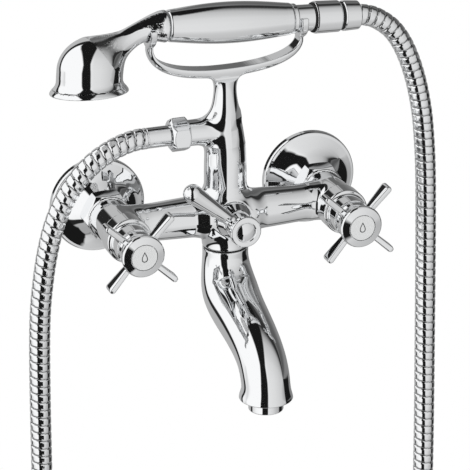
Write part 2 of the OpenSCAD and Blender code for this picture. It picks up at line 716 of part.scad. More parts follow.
// Strap section: flat above, rounded below
function strap(w, t) = [[t, w - 1], [t - 1, w], [0, w], [-0.6 * t, 0.8 * w], [-t, 0.4 * w],
    [-t, -0.4 * w], [-0.6 * t, -0.8 * w], [0, -w], [t - 1, -w], [t, 1 - w]];
module fork(x, seat_z, seat_r, rise) translate([x, 0, seat_z]) rotate([90, 0, 90])
    linear_extrude(height = fork_w, center = true) difference() {
        circle(r = seat_r + prong_t);
        circle(r = seat_r);
        translate([-seat_r, 0]) square([2 * seat_r, 2 * seat_r]);
        translate([-2 * seat_r, rise]) square([4 * seat_r, 2 * seat_r]);
    }
module handset_cradle() color("lightgray") difference() {
    union() {
        left = cradle_side(-head_fork_x, head_seat_z, head_seat_r);
        right = cradle_side(tail_fork_x, tail_seat_z, tail_seat_r);
        line = smooth(concat([for (k = [len(left) - 1 : -1 : 1]) left[k]], right), 3);
        in_riser_plane() loft([for (i = [0 : len(line) - 1])
            stand(line[i], heading(line, i), strap(cradle_w / 2, line[i][2]))]);
        at_riser() fork(-head_fork_x, head_seat_z, head_seat_r, head_prong_rise);
        at_riser() fork(tail_fork_x, tail_seat_z, tail_seat_r, tail_prong_rise);
        at_riser() turned([[0, riser_top], [riser_neck_d / 2 + 0.5, riser_top],
            [riser_neck_d / 2 + 0.4, riser_top + 1.5], [riser_neck_d / 2 - 1, riser_top + 4],
            [cradle_w / 2 - 0.3, riser_top + 7], [0, riser_top + 7]]);
    }
    at_riser() hole(8 + 2 * fit, riser_top - 1, riser_top + 5.3);
}

// Spout: centre line as shares of its reach and drop, with the diameter there
spout_line = let (mid_d = (spout_knee_d + spout_end_d) / 2) [for (s = [
        [0, 0, spout_top_d], [0, 0.03, spout_top_d - 0.3], [0, 0.06, spout_top_d - 0.4],
        [0.015, 0.17, spout_top_d + 1.8],
        [0.11, 0.36, spout_knee_d], [0.37, 0.485, spout_knee_d - 1.6], [0.63, 0.56, mid_d - 1],
        [0.87, 0.67, spout_end_d], [0.975, 0.81, spout_end_d], [1, 0.91, spout_end_d],
        [1, 0.97, spout_lip_d - 0.8], [1, 1, spout_lip_d]])
    [s[0] * spout_reach, spout_top - s[1] * spout_drop, s[2] / 2]];
module spout() color("lightgray") in_spout_plane() {
    sides = 24;
    line = smooth(spout_line, 3);
    bore = [for (p = line) let (
            near_top = p[1] > spout_top - spigot_tail - 1,
            near_lip = p[1] < aerator_top + aerator_washer_t + 2)
        [p[0], p[1], near_top ? spigot_d / 2 + seam
            : near_lip ? aerator_d / 2 + seam + 0.3 : p[2] - spout_wall]];
    tube(rings(line, sides), rings(bore, sides));
}
module spout_spigot() at_riser() color("darkkhaki") difference() {
    hole(spigot_d, spout_top - spigot_tail, spigot_top);
    translate([0, 0, screw_groove_z])
        washer(screw_groove_d, spigot_d + 2, -screw_groove_t / 2, screw_groove_t / 2);
    translate([0, 0, o_ring_z])
        washer(spigot_d - 2 * o_ring_d - 0.1, spigot_d + 2, -o_ring_d / 2 - 0.1, o_ring_d / 2 + 0.1);
    hole(spigot_d - 7, spout_top - spigot_tail - 1, spigot_top + 1);
}
module spout_o_ring() at_riser() color("dimgray") translate([0, 0, o_ring_z]) rotate_extrude()
    translate([spigot_d / 2 - o_ring_d / 2, 0]) circle(d = o_ring_d, $fn = 24);
module spout_screw() from_wall(0, screw_groove_z) color("silver")
    hole(spout_screw_d, body_depth - boss_d / 2 - 0.5, body_depth - screw_groove_d / 2 - seam);
module at_outlet() translate([0, -body_depth - spout_reach, 0]) children();
module aerator_housing() at_outlet() color("gainsboro") difference() {
    turned([[0, aerator_bottom], [aerator_d / 2 - 0.8, aerator_bottom], [aerator_d / 2, aerator_bottom + 0.8],
        [aerator_d / 2, aerator_top], [0, aerator_top]]);
    hole(aerator_d - 2 * aerator_wall, aerator_bottom - 1, aerator_top + 1);
}
module aerator_insert() at_outlet() color("whitesmoke") difference() {
    hole(aerator_d - 2 * aerator_wall - 2 * fit, insert_bottom, insert_bottom + insert_t);
    for (ring = [1 : 3], k = [1 : 6 * ring]) rotate([0, 0, 60 * k / ring])
        translate([ring * aerator_d / 9, 0, 0]) hole(1.4, insert_bottom - 1, insert_bottom + insert_t + 1);
}
module aerator_washer() at_outlet() color("dimgray")
    washer(aerator_d - 7, aerator_d - 0.4, aerator_top, aerator_top + aerator_washer_t);

// Handset
module at_head() on_handset() translate([head_x, 0, head_z]) rotate([0, -handset_tilt, 0]) children();
function bulb(r, lip_r, drop, lip) = concat(
    [[0, -drop], [lip_r, -drop], [lip_r, -drop + lip]],
    arc(r + 7, -1, 7, 222, 180, 5),
    arc(0, 0, r, 5, 90, 12));
module handset_head() color("lightgray") {
    neck = smooth(neck_line, 2);
    bore = [for (p = neck) [p[0], p[1], max(neck_bore_d / 2, p[2] - neck_wall)]];
    plate_r = head_lip_d / 2 - head_wall;
    sides = 24;
    difference() {
        union() {
            at_head() turned(bulb(head_d / 2, head_lip_d / 2, head_drop, lip_t));
            on_handset() rotate([90, 0, 0]) loft(rings(neck, sides));
        }
        at_head() turned(concat(
            [[0, -head_drop - 1], [plate_r, -head_drop - 1], [plate_r, -head_drop + plate_t + 1],
                [plate_r - 2, -head_drop + plate_t + 1], [head_d / 2 - head_wall, -2]],
            arc(0, 0, head_d / 2 - head_wall, 5, 90, 10)));
        on_handset() rotate([90, 0, 0]) loft(rings(concat([bore[0] + [2, 0, 0]], bore), sides));
    }
}
module spray_plate() at_head() color("whitesmoke") difference() {
    plate_r = head_lip_d / 2 - head_wall - 0.1;
    hole(2 * plate_r, -head_drop + 0.2, -head_drop + 0.2 + plate_t);
    for (ring = [1 : 4], k = [1 : 6 * ring]) rotate([0, 0, 60 * k / ring])
        translate([ring * plate_r / 5, 0, 0]) hole(1.6, -head_drop - 1, -head_drop + plate_t + 2);
}
module spray_gasket() at_head() color("dimgray") {
    bore_d = head_lip_d - 2 * head_wall;
    washer(bore_d - 3.8, bore_d - 0.4, -head_drop + 0.2 + plate_t, -head_drop + plate_t + 1);
}
module handset_grip() along_handset() color("gainsboro") difference() {
    end_r = grip_end_d / 2;
    bulge = grip_mid_d / 2 - end_r;
    turned(concat(
        [[0, grip_start], [end_r - 1.2, grip_start], [end_r, grip_start + 1.6]],
        [for (k = [1 : 15]) let (t = k / 16) [end_r + bulge * sin(180 * t), grip_start + grip_len * t]],
        [[end_r, grip_end - 1.6], [end_r - 1.2, grip_end], [0, grip_end]]));
    hole(core_d + 2 * seam, grip_start - 1, grip_end + 1);
}
module handset_core() along_handset() color("darkkhaki")
    washer(core_d - 2 * core_wall, core_d, grip_start - 4, grip_end + 3);
module handset_tail() along_handset() color("gainsboro") difference() {
    neck_r = tail_neck_d / 2;
    ring = 3;
    turned([[0, grip_end], [neck_r + 1.1, grip_end], [neck_r + 1.1, grip_end + ring - 0.6],
        [neck_r, grip_end + ring], [neck_r, tail_shoulder], [hose_thread_d / 2, tail_shoulder],
        [hose_thread_d / 2, tail_end - 0.6], [hose_thread_d / 2 - 0.6, tail_end], [0, tail_end]]);
    hole(core_d + 2 * fit, grip_end - 1, grip_end + 3.2);
    hole(hose_bore_d, grip_end, tail_end + 1);
}

// Hose and its fittings
module hose_nut() along_branch() color("gainsboro") difference() {
    hexagon(hose_nut_af, branch_len, hose_nut_end);
    hole(hose_thread_d + 2 * fit, branch_len - 1, sleeve_neck);
    hole(sleeve_d + 2 * fit, sleeve_neck - 1, hose_nut_end + 1);
}
module hose_washer() along_branch() color("dimgray")
    washer(hose_bore_d, hose_thread_d - 0.4, branch_end, sleeve_back);
module hose_sleeve() along_branch() color("gainsboro") difference() {
    turned([[0, sleeve_back], [hose_thread_d / 2 - 0.1, sleeve_back], [hose_thread_d / 2 - 0.1, sleeve_neck],
        [sleeve_d / 2, sleeve_neck], [sleeve_d / 2, sleeve_end], [0, sleeve_end]]);
    hole(hose_bore_d, sleeve_back - 1, sleeve_end);
    hole(hose_tail_d + 2 * seam, sleeve_end - hose_tail_len, sleeve_end + 1);
}
module cone_nut() along_handset() color("gainsboro") difference() {
    nut_r = cone_nut_d / 2;
    turned([[0, tail_shoulder], [nut_r - 0.6, tail_shoulder], [nut_r, tail_shoulder + 0.8],
        [nut_r - 0.3, cone_nut_end - 1], [nut_r - 1.1, cone_nut_end], [0, cone_nut_end]]);
    hole(hose_thread_d + 2 * fit, tail_shoulder - 1, collar_neck);
    hole(collar_neck_d + 2 * fit, tail_shoulder, cone_nut_end + 1);
}
module handset_washer() along_handset() color("dimgray")
    washer(hose_bore_d, hose_thread_d - 0.4, tail_end, collar_rim);
module hose_collar() along_handset() color("gainsboro") difference() {
    turned([[0, collar_rim], [hose_thread_d / 2 - 0.1, collar_rim], [hose_thread_d / 2 - 0.1, collar_neck],
        [collar_neck_d / 2, collar_neck], [collar_neck_d / 2, collar_start],
        [cone_nut_d / 2 - 1.1, collar_start], [cone_nut_d / 2 - 0.6, collar_start + 0.6],
        [collar_end_d / 2, collar_end - 0.6], [collar_end_d / 2 - 0.6, collar_end], [0, collar_end]]);
    hole(hose_bore_d, collar_rim - 1, collar_end);
    hole(hose_tail_d + 2 * seam, collar_end - hose_tail_len, collar_end + 1);
}

// Hose: places along the route by their distance from its start
hose_line = smooth(hose_route, 10);
hose_steps = [for (i = [0 : len(hose_line) - 1]) i == 0 ? 0 : norm(hose_line[i] - hose_line[i - 1])];
function sums(v, i = 0, total = 0) = i == len(v) ? [] : concat([total + v[i]], sums(v, i + 1, total + v[i]));
hose_marks = sums(hose_steps);
hose_len = hose_marks[len(hose_marks) - 1];
hose_x = [for (i = [0 : len(hose_line) - 1]) [hose_marks[i], hose_line[i][0]]];
hose_y = [for (i = [0 : len(hose_line) - 1]) [hose_marks[i], hose_line[i][1]]];
function hose_at(s) = [lookup(s, hose_x), lookup(s, hose_y)];
// Square section of the hose at a distance along it
function hose_ring(s, r) =
    let (v = hose_at(min(s + 2, hose_len)) - hose_at(max(s - 2, 0)))
    stand(hose_at(s), v / norm(v), round_section(r, 8));
module shower_hose() color("silver") in_riser_plane() {
    tail_r = hose_tail_d / 2;
    crest_r = hose_d / 2;
    valley_r = crest_r - 0.9;
    first = hose_tail_len + 0.3;
    last = hose_len - hose_tail_len - 0.3;
    pitch = (last - first) / hose_ribs;
    outer = concat(
        [hose_ring(0, tail_r), hose_ring(first - 0.2, tail_r)],
        [for (k = [0 : hose_ribs - 1]) each
            [hose_ring(first + pitch * k, valley_r), hose_ring(first + pitch * (k + 0.5), crest_r)]],
        [hose_ring(last, valley_r), hose_ring(last + 0.2, tail_r), hose_ring(hose_len, tail_r)]);
    inner = [for (k = [0 : 5 : len(hose_line) - 1]) hose_ring(hose_marks[k], hose_bore_d / 2)];
    echo(hose_length = hose_len, rib_pitch = pitch);
    tube(outer, inner);
}

mixer_body();
wall_flange(-1);  // wall_flange_left
wall_flange(1);  // wall_flange_right
wall_union(-1);  // wall_union_left
wall_union(1);  // wall_union_right
union_nut(-1);  // union_nut_left
union_nut(1);  // union_nut_right
union_washers();
headwork(-1);  // headwork_left
headwork(1);  // headwork_right
seat_seals();
fixed_discs();
bonnet(-1);  // bonnet_left
bonnet(1);  // bonnet_right
handle(-1);  // handle_left
handle(1);  // handle_right
index_button(-1);  // index_button_left
index_button(1);  // index_button_right
handle_screw(-1);  // handle_screw_left
handle_screw(1);  // handle_screw_right
spindle(-1);  // spindle_left
spindle(1);  // spindle_right
moving_disc(-1);  // moving_disc_left
moving_disc(1);  // moving_disc_right
diverter_cartridge();
diverter_bonnet();
diverter_lever();
diverter_cap();
diverter_screw();
diverter_spindle();
riser_column();
riser_seal();
check_valve();
handset_cradle();
spout();
spout_spigot();
spout_o_ring();
spout_screw();
aerator_housing();
aerator_insert();
aerator_washer();
handset_head();
spray_plate();
spray_gasket();
handset_grip();
handset_core();
handset_tail();
hose_nut();
hose_sleeve();
hose_washer();
cone_nut();
hose_collar();
handset_washer();
shower_hose();
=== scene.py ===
# %% [markdown]
# # Bath shower mixer
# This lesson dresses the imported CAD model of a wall-mounted mixer. The CAD solids fix every size and every
# joint. The pieces that show are made again here with finer surfaces, because polished chrome betrays each
# facet of a coarse mesh in its reflections. Sizes are written in millimetres, as on a drawing, and a mesh
# is turned into metres only when it becomes an object.

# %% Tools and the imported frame
import json
import math

import bpy
import numpy as np
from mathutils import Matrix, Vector


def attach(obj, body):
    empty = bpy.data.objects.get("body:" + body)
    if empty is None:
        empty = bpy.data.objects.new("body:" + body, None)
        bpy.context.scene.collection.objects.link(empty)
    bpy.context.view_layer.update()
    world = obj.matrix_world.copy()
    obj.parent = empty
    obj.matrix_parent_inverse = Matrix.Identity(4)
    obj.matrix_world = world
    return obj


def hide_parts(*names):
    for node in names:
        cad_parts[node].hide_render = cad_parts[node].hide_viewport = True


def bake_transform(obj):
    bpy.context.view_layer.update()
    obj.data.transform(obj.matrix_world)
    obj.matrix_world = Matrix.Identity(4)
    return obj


MM = 0.001


def new_object(name, data):
    """Object that shows some data, linked to the scene."""
    obj = bpy.data.objects.new(name, data)
    bpy.context.collection.objects.link(obj)
    return obj


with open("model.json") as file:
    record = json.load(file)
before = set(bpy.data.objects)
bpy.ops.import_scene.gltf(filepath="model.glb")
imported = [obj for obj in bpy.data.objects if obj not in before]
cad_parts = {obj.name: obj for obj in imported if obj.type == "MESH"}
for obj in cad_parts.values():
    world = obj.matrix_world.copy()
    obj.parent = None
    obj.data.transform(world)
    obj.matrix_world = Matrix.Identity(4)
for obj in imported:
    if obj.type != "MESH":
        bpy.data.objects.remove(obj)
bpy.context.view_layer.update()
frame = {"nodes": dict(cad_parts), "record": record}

# %% [markdown]
# ## Camera
# A catalogue picture is taken from far away with a long lens, so that a round flange stays a tidy ellipse.
# The camera could be placed by eye. Here its place and lens were worked out from the 150 mm between the two
# wall inlets and a few other points of the mixer, so that the render lies over the photograph.

# %% Camera at the photograph's angle
CAMERA_AT = (-0.7228, -2.0661, 0.8575)
CAMERA_AIM = (0.00507, -0.05, -0.01502)
LENS, SENSOR = 268.1, 36.0
camera_data = bpy.data.cameras.new("photo_camera")
camera_data.lens, camera_data.sensor_width = LENS, SENSOR
camera_data.clip_end = 20.0
camera = new_object("photo_camera", camera_data)
camera.location = CAMERA_AT
toward = Vector(CAMERA_AIM) - Vector(CAMERA_AT)
camera.rotation_euler = toward.to_track_quat("-Z", "Y").to_euler()
bpy.context.scene.camera = camera
bpy.context.scene.view_settings.view_transform = "Standard"
down = math.degrees(math.asin(-toward.normalized().z))
print(f"camera: {toward.length:.2f} m away, looking down {down:.1f} deg")

# %% [markdown]
# ## Light tent
# Polished chrome has hardly any colour of its own: what the eye sees on it is the room. Lamps alone would
# only give it bright dots, so the photographer's tent is drawn in the world: a white panel to the left, a
# pale grey one to the right, a dark slit between them that widens from the photographer over the top, and a
# grey back. Three angles say where a ray goes: `across`, to the right of the upright plane through the
# camera, `pitch`, round from the camera over the top, and `behind`, past the slanting edge of the left
# panel. Each list below holds (angle in degrees, brightness), to be read with a Color Ramp. The slit's list
# holds half its width.

# %% Brightness of the tent
TENT = {
    "panels": ("across", [
        (-90, 1.04), (-4, 1.04), (-2, 0.95), (8, 0.95), (12, 0.85), (17, 0.81), (40, 0.77), (60, 0.70),
        (75, 0.63), (90, 0.60),
    ]),
    "right side": ("across", [(-4, 0), (-2, 1)]),
    "curtain": ("across", [(42, 0), (46, 1)]),
    "left back": ("behind", [
        (-90, 1), (-22, 1), (-20, 0.02), (-10, 0.02), (-8, 0.5), (25, 0.5), (60, 0.4), (90, 0.3),
    ]),
    "left shade": ("pitch", [
        (-180, 1), (-150, 0.9), (-110, 0.72), (-80, 0.76), (-50, 0.94), (-30, 1), (180, 1),
    ]),
    "right shade": ("pitch", [
        (-180, 0.32), (-140, 0.30), (-116, 0.42), (-112, 0.07), (-108, 0.07), (-104, 0.5), (-96, 0.57),
        (-77, 0.71), (-62, 0.74), (-48, 0.8), (-26, 1), (16, 1), (50, 0.93), (61, 0.85), (86, 0.7), (98, 0.5),
        (106, 0.25), (112, 0.04), (126, 0.04), (131, 0.22), (145, 0.14), (162, 0.15), (180, 0.28),
    ]),
    "slit width": ("pitch", [
        (-180, 0), (-84, 0), (-70, 0.085), (10, 0.085), (40, 0.065), (80, 0.095), (105, 0.11), (122, 0.1),
        (127, 0),
    ]),
    "curtain range": ("pitch", [(-164, 0), (-160, 1), (-104, 1), (-100, 0)]),
}
# Angle across of the slit's middle, and how sharply its edges turn dark
SLIT_MIDDLE, SLIT_SHARPNESS = -6.0, 50.0
# Axis, by (front, right, up), of the edge where the white panel ends behind on the left
LEFT_EDGE = (-0.517, 0.709, -0.48)
print("tent:", ", ".join(TENT))


# %% A node with its settings and links
def add_node(tree, kind, links=(), **settings):
    """New node. Links gives sockets or plain values for its inputs, by name or number."""
    node = tree.nodes.new(kind)
    for key, value in settings.items():
        setattr(node, key, value)
    for socket, value in dict(links).items():
        if isinstance(value, bpy.types.NodeSocket):
            tree.links.new(value, node.inputs[socket])
        else:
            node.inputs[socket].default_value = value
    return node


def calc(tree, operation, *values, **settings):
    """Result of a Math node."""
    node = add_node(tree, "ShaderNodeMath", dict(enumerate(values)), operation=operation, **settings)
    return node.outputs[0]


def mixed(tree, share, first, second, **settings):
    """Result of a Mix node for colours."""
    links = {0: share, 6: first, 7: second}
    return add_node(tree, "ShaderNodeMix", links, data_type="RGBA", **settings).outputs[2]


# %% Three angles of a ray
world = bpy.data.worlds.new("light_tent")
world.use_nodes = True
bpy.context.scene.world = world
sky = world.node_tree
sky.nodes.clear()
to_camera = -Vector((toward.x, toward.y, 0.0)).normalized()
to_right = Vector((-to_camera.y, to_camera.x, 0.0))
ray = add_node(sky, "ShaderNodeTexCoord").outputs["Generated"]
UP = Vector((0.0, 0.0, 1.0))
edge_axis = LEFT_EDGE[0] * to_camera + LEFT_EDGE[1] * to_right + LEFT_EDGE[2] * UP
share = {}
for name, axis in (("front", to_camera), ("right", to_right), ("up", UP), ("edge", edge_axis)):
    dot = add_node(sky, "ShaderNodeVectorMath", {0: ray, 1: axis}, operation="DOT_PRODUCT")
    share[name] = dot.outputs["Value"]
angle = {
    "across": calc(sky, "ARCSINE", share["right"]),
    "pitch": calc(sky, "ARCTAN2", share["up"], share["front"]),
    "behind": calc(sky, "ARCSINE", share["edge"]),
}
REACH = {"across": 90, "pitch": 180, "behind": 90}
for name, radians in angle.items():
    angle[name] = calc(sky, "MULTIPLY_ADD", radians, 0.5 / math.radians(REACH[name]), 0.5)
print("angles of a ray:", ", ".join(angle), "each from 0 to 1")

# %% Ramps of the tent
ramps = {}
for name, (which, stops) in TENT.items():
    ramp = add_node(sky, "ShaderNodeValToRGB", {0: angle[which]})
    elements = ramp.color_ramp.elements
    while len(elements) < len(stops):
        elements.new(0.5)
    for element, (degrees, grey) in zip(elements, stops):
        element.position = 0.5 + 0.5 * degrees / REACH[which]
        element.color = (grey, grey, grey, 1.0)
    ramps[name] = ramp.outputs[0]
print("ramps:", len(ramps))

# %% [markdown]
# The ramps are now put together: the panels are shaded by their pitch, and the slit and a dark curtain low
# on the right are laid over them. Light Path then gives each kind of ray its share. The camera and matt
# surfaces see plain white of strength 1, so that a colour renders about as it is written, and metal sees
# the tent.

# %% What each ray sees
DARK, WHITE = (0.01, 0.01, 0.01, 1.0), (1.0, 1.0, 1.0, 1.0)
left = mixed(sky, 1.0, ramps["left shade"], ramps["left back"], blend_type="MULTIPLY")
shade = mixed(sky, ramps["right side"], left, ramps["right shade"])
tent = mixed(sky, 1.0, ramps["panels"], shade, blend_type="MULTIPLY")
off_slit = calc(sky, "SUBTRACT", angle["across"], 0.5 + 0.5 * SLIT_MIDDLE / REACH["across"])
in_slit = calc(sky, "SUBTRACT", ramps["slit width"], calc(sky, "ABSOLUTE", off_slit))
in_slit = calc(sky, "MULTIPLY_ADD", in_slit, SLIT_SHARPNESS, 0.5, use_clamp=True)
in_curtain = calc(sky, "MULTIPLY", ramps["curtain"], ramps["curtain range"])
for dark in (in_slit, in_curtain):
    tent = mixed(sky, dark, tent, DARK)
tent_light = add_node(sky, "ShaderNodeBackground", {0: tent}).outputs[0]
paper = add_node(sky, "ShaderNodeBackground", {0: WHITE}).outputs[0]
is_glossy = add_node(sky, "ShaderNodeLightPath").outputs["Is Glossy Ray"]
seen = add_node(sky, "ShaderNodeMixShader", {0: is_glossy, 1: paper, 2: tent_light})
add_node(sky, "ShaderNodeOutputWorld", {0: seen.outputs[0]})
print("light tent:", len(sky.nodes), "nodes")

# %% [markdown]
# ## Finishes
# The mixer is chromed brass, with a little enamel, rubber, ceramic and plastic. Each finish could be a
# picture of a surface, but these are even all over, so plain numbers on the Principled shader's own sockets
# are enough. Colours are written as sRGB hex, as a paint chart gives them, and one function turns them to
# linear.


# %% Colours in linear light
def linear(code):
    """Linear colour of an sRGB hex code."""
    parts = [int(code[k : k + 2], 16) / 255 for k in (0, 2, 4)]
    return [c / 12.92 if c <= 0.04045 else ((c + 0.055) / 1.055) ** 2.4 for c in parts] + [1.0]


def finish(name, code, metallic, roughness):
    """Principled material that is even all over."""
    material = bpy.data.materials.new(name)
    material.use_nodes = True
    shader = material.node_tree.nodes["Principled BSDF"]
    shader.inputs["Base Color"].default_value = linear(code)
    shader.inputs["Metallic"].default_value = metallic
    shader.inputs["Roughness"].default_value = roughness
    return material


# %% Finish of each slot
FINISHES = {
    # Brass, polished and chrome plated: a cold mirror that shows the tent with crisp edges
    "chrome": finish("polished_chrome", "F4F5F6", 1.0, 0.035),
    # Brass, machined and left bare inside the valves: warm, with a blurred gleam
    "brass": finish("machined_brass", "C9A45C", 1.0, 0.3),
    # Black nitrile rubber, moulded: dull, it takes the light away from seams
    "rubber": finish("moulded_rubber", "161616", 0.0, 0.7),
    # Alumina discs, lapped: white with a soft sheen
    "ceramic": finish("lapped_alumina", "F2F1EC", 0.0, 0.25),
    # Stainless steel screws, turned: grey with a blurred gleam
    "steel": finish("turned_steel", "BFC0C2", 1.0, 0.25),
    # Pale enamel on the index buttons, fired: smooth and silky
    "index": finish("fired_enamel", "DCDDDD", 0.0, 0.25),
    # Acetal plastic, moulded: off-white with a faint gloss
    "white_plastic": finish("moulded_acetal", "DADADA", 0.0, 0.4),
}
# Dark enamel of the mark on each button: nearly black, with a soft gloss
MARK = finish("dark_enamel", "3A3B3C", 0.0, 0.3)
for part in frame["record"]["subparts"]:
    node = frame["nodes"][part["node"]]
    node.data.materials.clear()
    node.data.materials.append(FINISHES[part["material_slot"]])
print("finishes:", ", ".join(m.name for m in FINISHES.values()))

# %% [markdown]
# ## Floor and cloth
# The mixer hangs on a wall, and the loop of its hose ends above a pale floor. A floor that the metal sees
# would hide the lower half of the tent, so Light Path leaves it out of reflections. The camera sees it as
# the white of the paper, matt surfaces get its bounced light, and from below it is clear, so that the
# underside of the spray head can be looked at. The tent is far away and looks the same from every part, but
# the photographer stood close by: the stripe is broadest on the spout and moves from handle to handle. A
# dark cloth near the mixer does that, and only reflections see it.


# %% Pale floor below the hose
def sheet(name, corners):
    """Flat face through corners in millimetres."""
    mesh = bpy.data.meshes.new(name)
    mesh.from_pydata([[c * MM for c in corner] for corner in corners], [], [range(len(corners))])
    return new_object(name, mesh)


FLOOR_Z, FLOOR_HALF = -600.0, 2500.0
SQUARE = ((-1, -1), (1, -1), (1, 1), (-1, 1))
floor = sheet("floor", [(a * FLOOR_HALF, b * FLOOR_HALF, FLOOR_Z) for a, b in SQUARE])
# Painted screed: matt and pale
screed = bpy.data.materials.new("painted_screed")
screed.use_nodes = True
floor_tree = screed.node_tree
floor_tree.nodes.clear()
kind_of_ray = add_node(floor_tree, "ShaderNodeLightPath").outputs
matt = add_node(floor_tree, "ShaderNodeBsdfDiffuse", {0: linear("F2F2F2")}).outputs[0]
white = add_node(floor_tree, "ShaderNodeEmission", {0: WHITE}).outputs[0]
clear = add_node(floor_tree, "ShaderNodeBsdfTransparent").outputs[0]
from_below = add_node(floor_tree, "ShaderNodeNewGeometry").outputs["Backfacing"]
let_through = calc(floor_tree, "MAXIMUM", from_below, kind_of_ray["Is Glossy Ray"])
shown = matt
for share_of_next, shader in ((kind_of_ray["Is Camera Ray"], white), (let_through, clear)):
    shown = add_node(floor_tree, "ShaderNodeMixShader", {0: share_of_next, 1: shown, 2: shader}).outputs[0]
add_node(floor_tree, "ShaderNodeOutputMaterial", {0: shown})
floor.data.materials.append(screed)
print("floor:", FLOOR_Z, "mm")

# %% Dark cloth in front of the spout
CLOTH_Y = -390.0
# Corners of its outline, as (x, z)
CLOTH_EDGE = [(-235, -330), (-235, -60), (-120, -60), (-120, -165), (-30, -165), (-30, -330)]
cloth = sheet("cloth", [(x, CLOTH_Y, z) for x, z in CLOTH_EDGE])
# Black velvet: gives back almost no light
cloth.data.materials.append(finish("black_velvet", "0A0A0A", 0.0, 1.0))
cloth.visible_camera = cloth.visible_diffuse = cloth.visible_shadow = False
print("cloth:", -CLOTH_Y, "mm from the wall")

# %% [markdown]
# ## Places
# Every piece is made round its own axis, where its profile is easy to read, and is then set in place with
# one of the frames below. A matrix that is multiplied into the points keeps each object at the origin,
# unturned, as the CAD nodes are.


# %% Shifts and turns
def move(x, y, z):
    """Shift in millimetres."""
    m = np.eye(4)
    m[:3, 3] = (x, y, z)
    return m


def cos_sin(degrees):
    """Cosine and sine of an angle."""
    return math.cos(math.radians(degrees)), math.sin(math.radians(degrees))


def turn_about(axis, degrees):
    """Turn about a main axis, by the right-hand rule."""
    c, s = cos_sin(degrees)
    a, b = [(1, 2), (2, 0), (0, 1)]["XYZ".index(axis)]
    m = np.eye(4)
    m[a, a], m[a, b], m[b, a], m[b, b] = c, -s, s, c
    return m


def from_wall(x, z):
    """Frame whose heights are distances from the wall."""
    return move(x, 0, z) @ turn_about("X", 90)


# %% Frames of the mixer
BODY_DEPTH = 45.0
INLET_X = 75.0
DIVERTER_Z = 1.0
BRANCH_Z = 59.0
HANDSET_Z = 132.0
TILT, ROLL = 3.2, 8.0
HEAD_X, HEAD_Z = -93.2, -26.7
SPOUT_REACH = 78.4
IN_PLACE = np.eye(4)
AT_VALVE = {word: from_wall(sign * INLET_X, 0) for word, sign in (("left", -1), ("right", 1))}
AT_RISER = move(0, -BODY_DEPTH, 0)
ALONG_BRANCH = move(0, -BODY_DEPTH, BRANCH_Z) @ turn_about("Y", -90)
ON_HANDSET = move(0, -BODY_DEPTH, HANDSET_Z) @ turn_about("Y", TILT) @ turn_about("X", -ROLL)
ALONG_HANDSET = ON_HANDSET @ turn_about("Y", 90)
AT_HEAD = ON_HANDSET @ move(HEAD_X, 0, HEAD_Z) @ turn_about("Y", -TILT)
AT_OUTLET = move(0, -BODY_DEPTH - SPOUT_REACH, 0)
print(f"handset: {HANDSET_Z} mm up, tilted {TILT} deg")

# %% [markdown]
# ## Turned pieces
# Flanges, bonnets, hubs and nuts come off a lathe. In Blender a profile could be spun with the Screw
# modifier, but then rounded edges need a bevel and the shading has to guess at normals. Here the profile's
# corners are turned into true arcs first, and the exact normals of those arcs go into the mesh, so that a
# reflection bends round each edge as it does on the real piece.


# %% A mesh in its place
def smooth_mesh(name, points, faces):
    """Mesh from points in millimetres, shaded smooth."""
    mesh = bpy.data.meshes.new(name)
    mesh.from_pydata((points * MM).tolist(), [], [list(f) for f in faces])
    mesh.shade_smooth()
    return mesh


def placed(points, place):
    """Points set in place by a frame."""
    return points @ place[:3, :3].T + place[:3, 3]


def add_piece(name, points, faces, normals, place, body, slot="chrome", replaced=(), material=None):
    """New object from points in millimetres, riding on a body."""
    mesh = smooth_mesh(name, placed(points, place), faces)
    if normals is not None:
        normals = normals @ place[:3, :3].T
        mesh.normals_split_custom_set_from_vertices(normals.tolist())
    mesh.materials.append(material or FINISHES[slot])
    obj = new_object(name, mesh)
    if body:
        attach(obj, body)
    if replaced:
        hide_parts(*replaced)
    print(f"{name}: {len(points)} points, {len(faces)} faces")
    return obj


# %% Arcs at the corners of a profile
def rounded(profile, steps=5):
    """Points and outward normals along a profile of (radius, height, fillet)."""
    p = np.array([c[:2] for c in profile], float)
    points, normals = [], []
    for k in range(len(p)):
        before = p[k] - p[k - 1] if k else p[1] - p[0]
        after = p[k + 1] - p[k] if k + 1 < len(p) else before
        d1, d2 = before / np.linalg.norm(before), after / np.linalg.norm(after)
        n1, n2 = np.array([d1[1], -d1[0]]), np.array([d2[1], -d2[0]])
        bend = math.atan2(d1[0] * d2[1] - d1[1] * d2[0], float(d1 @ d2))
        if abs(bend) < 1e-3 or k in (0, len(p) - 1):
            points.append(p[k])
            normals.append(n2 if k == 0 else n1)
            continue
        # Fillets at both ends share an edge, so each takes a little under half of it
        room = 0.48 * min(np.linalg.norm(before), np.linalg.norm(after))
        cut = min(profile[k][2] * math.tan(abs(bend) / 2), room)
        radius = cut / math.tan(abs(bend) / 2)
        sign = 1 if bend > 0 else -1
        centre = p[k] - d1 * cut - sign * radius * n1
        for i in range(steps + 1):
            turn = bend * i / steps
            c, s = math.cos(turn), math.sin(turn)
            n = np.array([c * n1[0] - s * n1[1], s * n1[0] + c * n1[1]])
            points.append(centre + sign * radius * n)
            normals.append(n)
    return np.array(points), np.array(normals)


